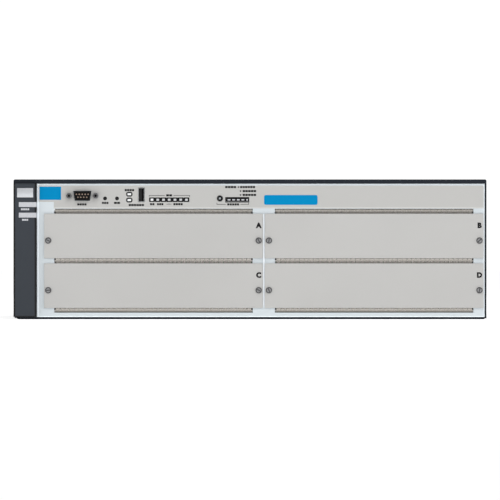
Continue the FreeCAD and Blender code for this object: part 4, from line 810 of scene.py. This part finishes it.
class CHASSIS_OT_captive_screws(Dresser, bpy.types.Operator):
    """Ferrules and slotted heads of the blank plates' captive screws; the ferrules' dark colour is painted
    shade.
    """

    bl_idname = "chassis.captive_screws"
    bl_label = "Captive screws"

    def execute(self, context):
        for turn, (letter, hand) in enumerate(SCREWS):
            node = f"plate_screw_{letter}_{hand}"
            body = f"screw_{letter}_{hand}"
            spot = middle(node)
            spot.y = low(node).y
            slot_turn = Matrix.Rotation(math.radians(25 + 37 * turn), 4, "Y")
            head = piece(f"screw_head_{letter}_{hand}", self.head(spot, slot_turn), "screw_metal",
                         0.6, body)
            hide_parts(node)
            piece(f"screw_collar_{letter}_{hand}", self.collar(spot, slot_turn), "collar_metal",
                  0.6, body)
        return {"FINISHED"}

    def turned(self, form, spot, back, slot_turn):
        """Turn what has been drawn round the screw's axis and set it behind the screw's front."""
        place = Matrix.Translation((spot.x, spot.y + back, spot.z)) @ slot_turn
        bmesh.ops.transform(form, matrix=place, verts=form.verts)

    def head(self, spot, slot_turn):
        """A slotted cheese head with a rounded rim, its neck and its shank."""
        radius, half_slot, base, crown, rim, dome = mm(2.0, 0.42, 1.0, 0.75, 0.18, 0.14)

        def make(form):
            bmesh.ops.create_circle(form, cap_ends=True, segments=40, radius=radius, matrix=FACING)
            for side in (-1, 1):
                bmesh.ops.bisect_plane(form, geom=[*form.verts, *form.edges, *form.faces], dist=1e-7,
                                       plane_co=(0, 0, side * half_slot), plane_no=(0, 0, side))
            caps = [face for face in grow(form, form.faces, base)
                    if abs(face.calc_center_median().z) > half_slot]
            for cap in caps:
                top, = grow(form, [cap], crown)
                bmesh.ops.inset_region(form, faces=[top], thickness=rim, depth=0.0)
                bmesh.ops.translate(form, verts=list(top.verts), vec=(0.0, -dome, 0.0))
                bmesh.ops.delete(form, geom=[cap], context="FACES_ONLY")
            drum(form, *mm(0.0, 3.7, 0.0, 1.45, 7.2), 16)
            self.turned(form, spot, base + crown + dome, slot_turn)

        return make

    def collar(self, spot, slot_turn):
        """The turned ferrule round the head, spun from its section, and a thin dark sheet on the floor of the
        slot; their dark colour is painted shade of the gap round the head and of the slot.
        """
        section = ((2.05, 1.75), (2.05, 0.9), (2.3, 0.6), (2.72, 0.7), (2.92, 1.0), (2.92, 1.75))

        def make(form):
            block(form, 0.0, 0.0, 0.0, *mm(3.7, 0.06, 0.78))
            self.turned(form, spot, 0.86 * MM, slot_turn)
            verts = [form.verts.new((spot.x + radius * MM, spot.y + deep * MM, spot.z))
                     for radius, deep in section]
            edges = [form.edges.new(pair) for pair in zip(verts, verts[1:] + verts[:1])]
            bmesh.ops.spin(form, geom=verts + edges, cent=(spot.x, 0.0, spot.z), axis=(0.0, 1.0, 0.0),
                           angle=2 * math.pi, steps=40, use_merge=True)

        return make


class CHASSIS_OT_shield_fingers(Dresser, bpy.types.Operator):
    """Clip-on strips of sprung shielding fingers along the edges of the slots."""

    bl_idname = "chassis.shield_fingers"
    bl_label = "Shielding fingers"

    def execute(self, context):
        settings = context.scene.chassis_springs
        for side in ("left", "right"):
            start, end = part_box(f"mid_shelf_{side}")
            across = start.x + 1.25 * MM, end.x - 1.25 * MM
            # name, place of the sheet, way it bows, and how far below the sheet the painted shade begins, in
            # millimetres
            seats = (("floor", high("slot_floor").z, 1, 1.0), ("shelf_top", end.z, 1, None),
                     ("shelf_low", end.z - SHEET, -1, 0.75), ("ceiling", low("slot_ceiling").z, -1, 0.05))
            for name, seat, sense, shade_from in seats:
                skirt = name in ("floor", "ceiling")
                made = piece(f"fingers_{side}_{name}", self.strip(*across, seat, sense, skirt, settings),
                             "fingers", 0.5)
                # Faces below that depth take a darker copy of the finger coat: painted shade on the lower
                # parts of the strips.
                made.data.materials.append(finish("fingers_low"))
                for face in made.data.polygons:
                    face.material_index = int(shade_from is not None
                                              and face.center.z < seat - shade_from * MM)
        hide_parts("finger_strips")
        return {"FINISHED"}

    def strip(self, left, right, seat, sense, skirt, settings):
        """One strip: a clip over the sheet's edge and a row of bowed leaves."""
        rise = settings.rise / MM
        clip = [(2.6, 0.06), (-1.15, 0.06), (-1.15, -0.6)]
        if skirt:
            clip[2:] = [(-1.15, -1.1), (-1.15, -1.9), (0.15, -2.45), (0.15, -3.5)]
        leaf = ((-1.16, 0.12), (-1.28, 0.5 * rise), (-1.22, 0.85 * rise), (-0.9, 0.97 * rise), (0.0, rise),
                (2.0, 0.93 * rise), (4.6, 0.5 * rise), (6.9, 0.1))
        margin = 0.7 * MM

        def sheet_of(form, points, start, wide):
            verts = [form.verts.new((start, PANEL_BACK + y * MM, seat + sense * z * MM)) for y, z in points]
            edges = [form.edges.new(pair) for pair in zip(verts, verts[1:])]
            move_fresh(form, bmesh.ops.extrude_edge_only(form, edges=edges), (wide, 0.0, 0.0))

        def make(form):
            sheet_of(form, clip, left, right - left)
            count = round((right - left - 2 * margin) / settings.pitch)
            pitch = (right - left - 2 * margin) / count
            for index in range(count):
                sheet_of(form, leaf, left + margin + index * pitch + settings.slit / 2,
                         pitch - settings.slit)
            bmesh.ops.solidify(form, geom=list(form.faces), thickness=0.08 * MM)

        return make


class CHASSIS_OT_port_details(Dresser, bpy.types.Operator):
    """Contacts, light caps and mode light block on the management strip."""

    bl_idname = "chassis.port_details"
    bl_label = "Port details"

    def execute(self, context):
        self.light_caps()
        self.mode_block()
        self.serial_bus_contacts()
        self.console_pins()
        return {"FINISHED"}

    def light_caps(self):
        """Small domed lenses in the frames of the lights."""
        for name, spots, wide, tall, lens in (
                ("first_light_cap", STATUS_SPOTS[:1], 2.45, 2.15, "bright_lens"),
                ("status_light_caps", STATUS_SPOTS[1:], 2.3, 2.0, "lens"),
                ("test_light_caps", TEST_SPOTS, 3.4, 2.0, "bright_lens")):
            boxes(name, [(x, FILM_FACE + 0.05 * MM, z, *mm(wide, 0.3, tall, 0.12)) for x, z in spots], lens,
                  0.6)

    def mode_block(self):
        """The four lit marks in the dark block beside the light button."""
        start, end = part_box("mode_light_window")
        wide, z, face = end.x - start.x, middle("mode_light_window").z, start.y - 0.04 * MM

        def cells(form):
            for share in (0.10, 0.30, 0.50, 0.70):
                block(form, start.x + share * wide + 1.0 * MM, face, z, *mm(2.6, 0.12, 1.1, 0.05), 1)
            drum(form, start.x + 0.93 * wide, face, z, *mm(0.75, 0.12), 16)

        piece("mode_light_marks", cells, "pale_ink")
        printed("mode_light_frame", lambda form, plane: frame_of(
            form, start.x + wide / 2, z, wide + 1.0 * MM, *mm(5.2, 0.5, 0.45), plane))

    def serial_bus_contacts(self):
        """Four plated contacts on the tongue and the socket's sprung tabs."""
        tongue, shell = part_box("usb_port_tongue"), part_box("usb_port_shell")
        x, z = middle("usb_port_tongue").xz
        contacts = [(tongue[1].x + 0.05 * MM, tongue[0].y + 3.2 * MM, z + (index - 1.5) * 2.3 * MM,
                     *mm(0.12, 5.4, 1.0, 0.03), 1) for index in range(4)]
        boxes("serial_bus_contacts", contacts, "gold")
        tabs = [(x + side * (shell[1].x - x - 0.52 * MM), shell[0].y + 4.0 * MM,
                 z + share * (shell[1].z - shell[0].z), *mm(0.25, 4.5, 1.6, 0.1), 1)
                for side in (-1, 1) for share in (-0.25, 0.25)]
        boxes("serial_bus_tabs", tabs, "plating")

    def console_pins(self):
        """Round pins in the dark face of the console port, five over four."""
        start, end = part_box("console_port_pins")
        x, z = middle("console_port_pins").xz
        pitch, half_row, radius = mm(2.77, 1.42, 0.62)

        def round_pins(form):
            for count, side in ((5, 1), (4, -1)):
                for index in range(count):
                    drum(form, x + (index - (count - 1) / 2) * pitch, (start.y + end.y) / 2 - 0.1 * MM,
                         z + side * half_row, radius, end.y - start.y, 14, 0.2 * MM)

        made = piece("console_round_pins", round_pins, "pin_metal", 0.6)
        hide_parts("console_port_pins")


class CHASSIS_OT_bezel_trim(Dresser, bpy.types.Operator):
    """The bare badge plate and the blind captions of the bezel."""

    bl_idname = "chassis.bezel_trim"
    bl_label = "Bezel trim"

    def execute(self, context):
        start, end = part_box("left_bezel")
        x = (start.x + end.x) / 2 + 0.2 * MM
        badge = (x, BEZEL_FACE + 0.32 * MM, end.z - 8.8 * MM, *mm(15.2, 0.7, 8.8, 0.28), 3)
        boxes("bare_badge", [badge], "badge_metal", 0.6)

        def captions(form, face):
            for drop, count in ((24.3, 4), (34.2, 3)):
                for index in range(count):
                    label_of(form, x + (index - (count - 1) / 2) * 2.0 * MM, end.z - drop * MM,
                             *mm(1.65, 1.7, 0.3), face, 2)

        printed("bezel_captions", captions, "pale_ink", BEZEL_FACE)
        return {"FINISHED"}


class CHASSIS_OT_board_parts(Dresser, bpy.types.Operator):
    """Chips, heat sink and connectors on the control board and the backplane."""

    bl_idname = "chassis.board_parts"
    bl_label = "Board parts"

    def execute(self, context):
        start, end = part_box("control_board")
        top = high("slot_ceiling").z + 1.6 * MM

        def spot(across, back):
            return start.x + across * (end.x - start.x), start.y + back * (end.y - start.y)

        chips = ((0.65, 0.3, 35.3, 35.3), (0.8, 0.56, 24.3, 18.3), (0.17, 0.69, 20.3, 14.3))
        boxes("board_chips", [(*spot(across, back), top + 1.05 * MM, *mm(wide, deep, 2.2, 0.25))
                              for across, back, wide, deep in chips], "black_plastic")

        x, y = spot(0.3, 0.3)
        fins = [(x + (index - 3.5) * 5.0 * MM, y, top + 8.1 * MM, *mm(2.6, 40.4, 8.2, 0.2), 1)
                for index in range(8)]
        base = (x, y, top + 3.0 * MM, *mm(40.4, 40.4, 2.2, 0.2), 1)
        boxes("processor_heat_sink", [*fins, base], "black_metal")

        plates = [middle(f"blank_plate_{letter}") for letter in "abcd"]
        boxes("backplane_sockets", [(plate.x, low("backplane").y + 5.4 * MM, plate.z - 3.0 * MM,
                                     *mm(70.3, 10.8, 14.3, 0.3)) for plate in plates],
              "black_plastic")
        return {"FINISHED"}


class CHASSIS_OT_supply_details(Dresser, bpy.types.Operator):
    """Inlet pins, the knurled heads of the power supply's screws and the rear panel's screws."""

    bl_idname = "chassis.supply_details"
    bl_label = "Power supply details"

    def execute(self, context):
        x, z = middle("psu_inlet").xz
        pins = [(x + across * MM, high("psu_inlet").y - 10.1 * MM, z + up * MM, *mm(2.1, 13.1, 4.1, 0.3))
                for across, up in ((-7.0, 0.0), (7.0, 0.0), (0.0, 4.0))]
        boxes("inlet_pins", pins, "plating", 0.6, "power_supply")
        self.rear_heads()
        for hand in ("left", "right"):
            node = f"psu_screw_{hand}"
            made = piece(f"supply_thumbscrew_{hand}", self.thumbscrew(high(node).y, middle(node)),
                         "plating", 0.5, node)
            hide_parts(node)
        return {"FINISHED"}

    def rear_heads(self):
        """Flat black crosses on the rear panel's screws, painted shade standing in for their cross recesses;
        their places are read from the screws' crowns.
        """
        rear, apart = high("rear_screws").y, 8 * MM
        crowns = [vert.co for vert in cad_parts["rear_screws"].data.vertices
                  if rear - vert.co.y < 0.05 * MM]
        z = sum(spot.z for spot in crowns) / len(crowns)
        heads = []
        for x in sorted({round(spot.x, 4) for spot in crowns}):
            if not heads or x - heads[-1][-1] > apart:
                heads.append([])
            heads[-1].append(x)
        crosses = [((head[0] + head[-1]) / 2, rear - 0.02 * MM, z, *mm(wide, 0.1, tall)) for head in heads
                   for wide, tall in ((2.6, 0.55), (0.55, 2.6))]
        boxes("rear_screw_crosses", crosses, "black_metal")

    def thumbscrew(self, end, spot):
        """A knurled thumbscrew with a driver slot, by its outer end and its middle."""
        base = end - 9.0 * MM

        def make(form):
            made = drum(form, spot.x, base + 4.9 * MM, spot.z, *mm(4.0, 7.6), 48)
            walls = [item for item in linked(made, "faces") if abs(item.normal.y) < 0.5]
            walls.sort(key=lambda item: math.atan2(item.normal.x, item.normal.z))
            for wall in walls[::2]:
                bmesh.ops.inset_region(form, faces=[wall], thickness=0.08 * MM, depth=-0.16 * MM)
            drum(form, spot.x, base + 0.55 * MM, spot.z, *mm(2.6, 1.1), 32)
            drum(form, spot.x, base - 3.4 * MM, spot.z, *mm(1.45, 7.0), 16)
            for side in (-1, 1):
                block(form, spot.x, end - 0.2 * MM, spot.z + side * 1.55 * MM, *mm(4.6, 0.4, 2.0, 0.12))

        return make


class CHASSIS_OT_stage(Dresser, bpy.types.Operator):
    """Set up the pale floor, the studio lights and the camera."""

    bl_idname = "chassis.stage"
    bl_label = "Stage"

    def execute(self, context):
        settings = context.scene.chassis_stage
        self.floor(settings)
        self.lights(settings)
        self.camera(context, settings)
        return {"FINISHED"}

    def floor(self, settings):
        """A pale glowing floor, and a white backdrop far round it that only the camera sees."""
        paper = Paint("floor_paper")
        grain = paper.noise(40.0)
        paper.set(Base_Color=paper.mix(grain, (0.90, 0.90, 0.90), (0.92, 0.92, 0.92)), Roughness=0.9,
                  Emission_Color=WHITE, Emission_Strength=settings.floor_glow, Specular_IOR_Level=0.0)
        ground = new_object("floor", lambda form: bmesh.ops.create_grid(
            form, x_segments=1, y_segments=1, size=14.0), paper.material)
        white = Paint("backdrop_white")
        white.set(Base_Color=(0.0, 0.0, 0.0, 1.0), Emission_Color=WHITE, Emission_Strength=1.05,
                  Specular_IOR_Level=0.0)
        dome = new_object("backdrop", lambda form: bmesh.ops.create_icosphere(
            form, subdivisions=3, radius=15.0), white.material)
        for sense in ("diffuse", "glossy", "transmission", "volume_scatter", "shadow"):
            setattr(dome, f"visible_{sense}", False)

    def lights(self, settings):
        """A wide key over the front, a fill on each side and one behind."""
        top = CAD_BOX[1][2]
        rows = (("key", (0.3, -2.2, 2.1), settings.key_power, 2.0, (0.0, -0.15, 0.06)),
                ("fill_left", (-2.4, -1.5, 0.9), settings.fill_power, 1.6, (0.0, 0.0, top / 2)),
                ("fill_right", (2.4, -1.5, 0.9), settings.fill_power * 1.3, 1.6, (0.0, 0.0, top / 2)),
                ("rear", (0.6, 2.4, 1.5), settings.fill_power * 0.55, 1.6, (0.0, 0.1, top / 2)))
        for name, spot, power, size, aim in rows:
            lamp = bpy.data.lights.new(name, "AREA")
            lamp.energy = power
            lamp.size = size
            made = bpy.data.objects.new(name, lamp)
            made.location = spot
            made.rotation_euler = (Vector(aim) - Vector(spot)).to_track_quat("-Z", "Y").to_euler()
            bpy.context.scene.collection.objects.link(made)
        world = bpy.data.worlds.new("surroundings")
        world.use_nodes = True
        sky = world.node_tree.nodes["Background"].inputs
        sky["Color"].default_value = WHITE
        sky["Strength"].default_value = settings.sky
        bpy.context.scene.world = world

    def camera(self, context, settings):
        """A long lens square to the front panel."""
        lens = bpy.data.cameras.new("camera")
        lens.lens = lens.sensor_width * settings.distance / settings.width_seen
        lens.clip_end = 60.0
        eye = bpy.data.objects.new("camera", lens)
        front = low("front_panel").y
        eye.location = (0.0, front - settings.distance, CAD_BOX[1][2] / 2 - 0.6 * MM)
        eye.rotation_euler = (math.pi / 2, 0.0, 0.0)
        context.scene.collection.objects.link(eye)
        context.scene.camera = eye
        context.scene.view_settings.view_transform = "Standard"


class CHASSIS_PT_dresser(bpy.types.Panel):
    """The steps that finish the chassis, in order."""

    bl_label = "Chassis"
    bl_idname = "CHASSIS_PT_dresser"
    bl_space_type = "VIEW_3D"
    bl_region_type = "UI"
    bl_category = "Chassis"

    def draw(self, context):
        for step in STEPS:
            self.layout.operator(step.bl_idname)
        for name, kind in GROUPS.items():
            box = self.layout.box()
            for key in kind.__annotations__:
                box.prop(getattr(context.scene, name), key)


GROUPS = {"chassis_finish": FinishSettings, "chassis_print": PrintSettings,
          "chassis_springs": SpringSettings, "chassis_stage": StageSettings}
STEPS = (CHASSIS_OT_sheet_metal, CHASSIS_OT_mouldings, CHASSIS_OT_fittings, CHASSIS_OT_strip_marks,
         CHASSIS_OT_slot_letters, CHASSIS_OT_captive_screws, CHASSIS_OT_shield_fingers,
         CHASSIS_OT_port_details, CHASSIS_OT_bezel_trim, CHASSIS_OT_board_parts,
         CHASSIS_OT_supply_details, CHASSIS_OT_stage)


def register():
    """Add the settings, the operators and the panel."""
    for name, group in GROUPS.items():
        bpy.utils.register_class(group)
        setattr(bpy.types.Scene, name, PointerProperty(type=group))
    for step in (*STEPS, CHASSIS_PT_dresser):
        bpy.utils.register_class(step)


def unregister():
    """Take them away again."""
    for step in reversed((*STEPS, CHASSIS_PT_dresser)):
        bpy.utils.unregister_class(step)
    for name, group in reversed(GROUPS.items()):
        delattr(bpy.types.Scene, name)
        bpy.utils.unregister_class(group)


def main():
    """Dress the chassis."""
    register()
    for step in STEPS:
        domain, name = step.bl_idname.split(".")
        getattr(getattr(bpy.ops, domain), name)()


if __name__ == "__main__":
    main()
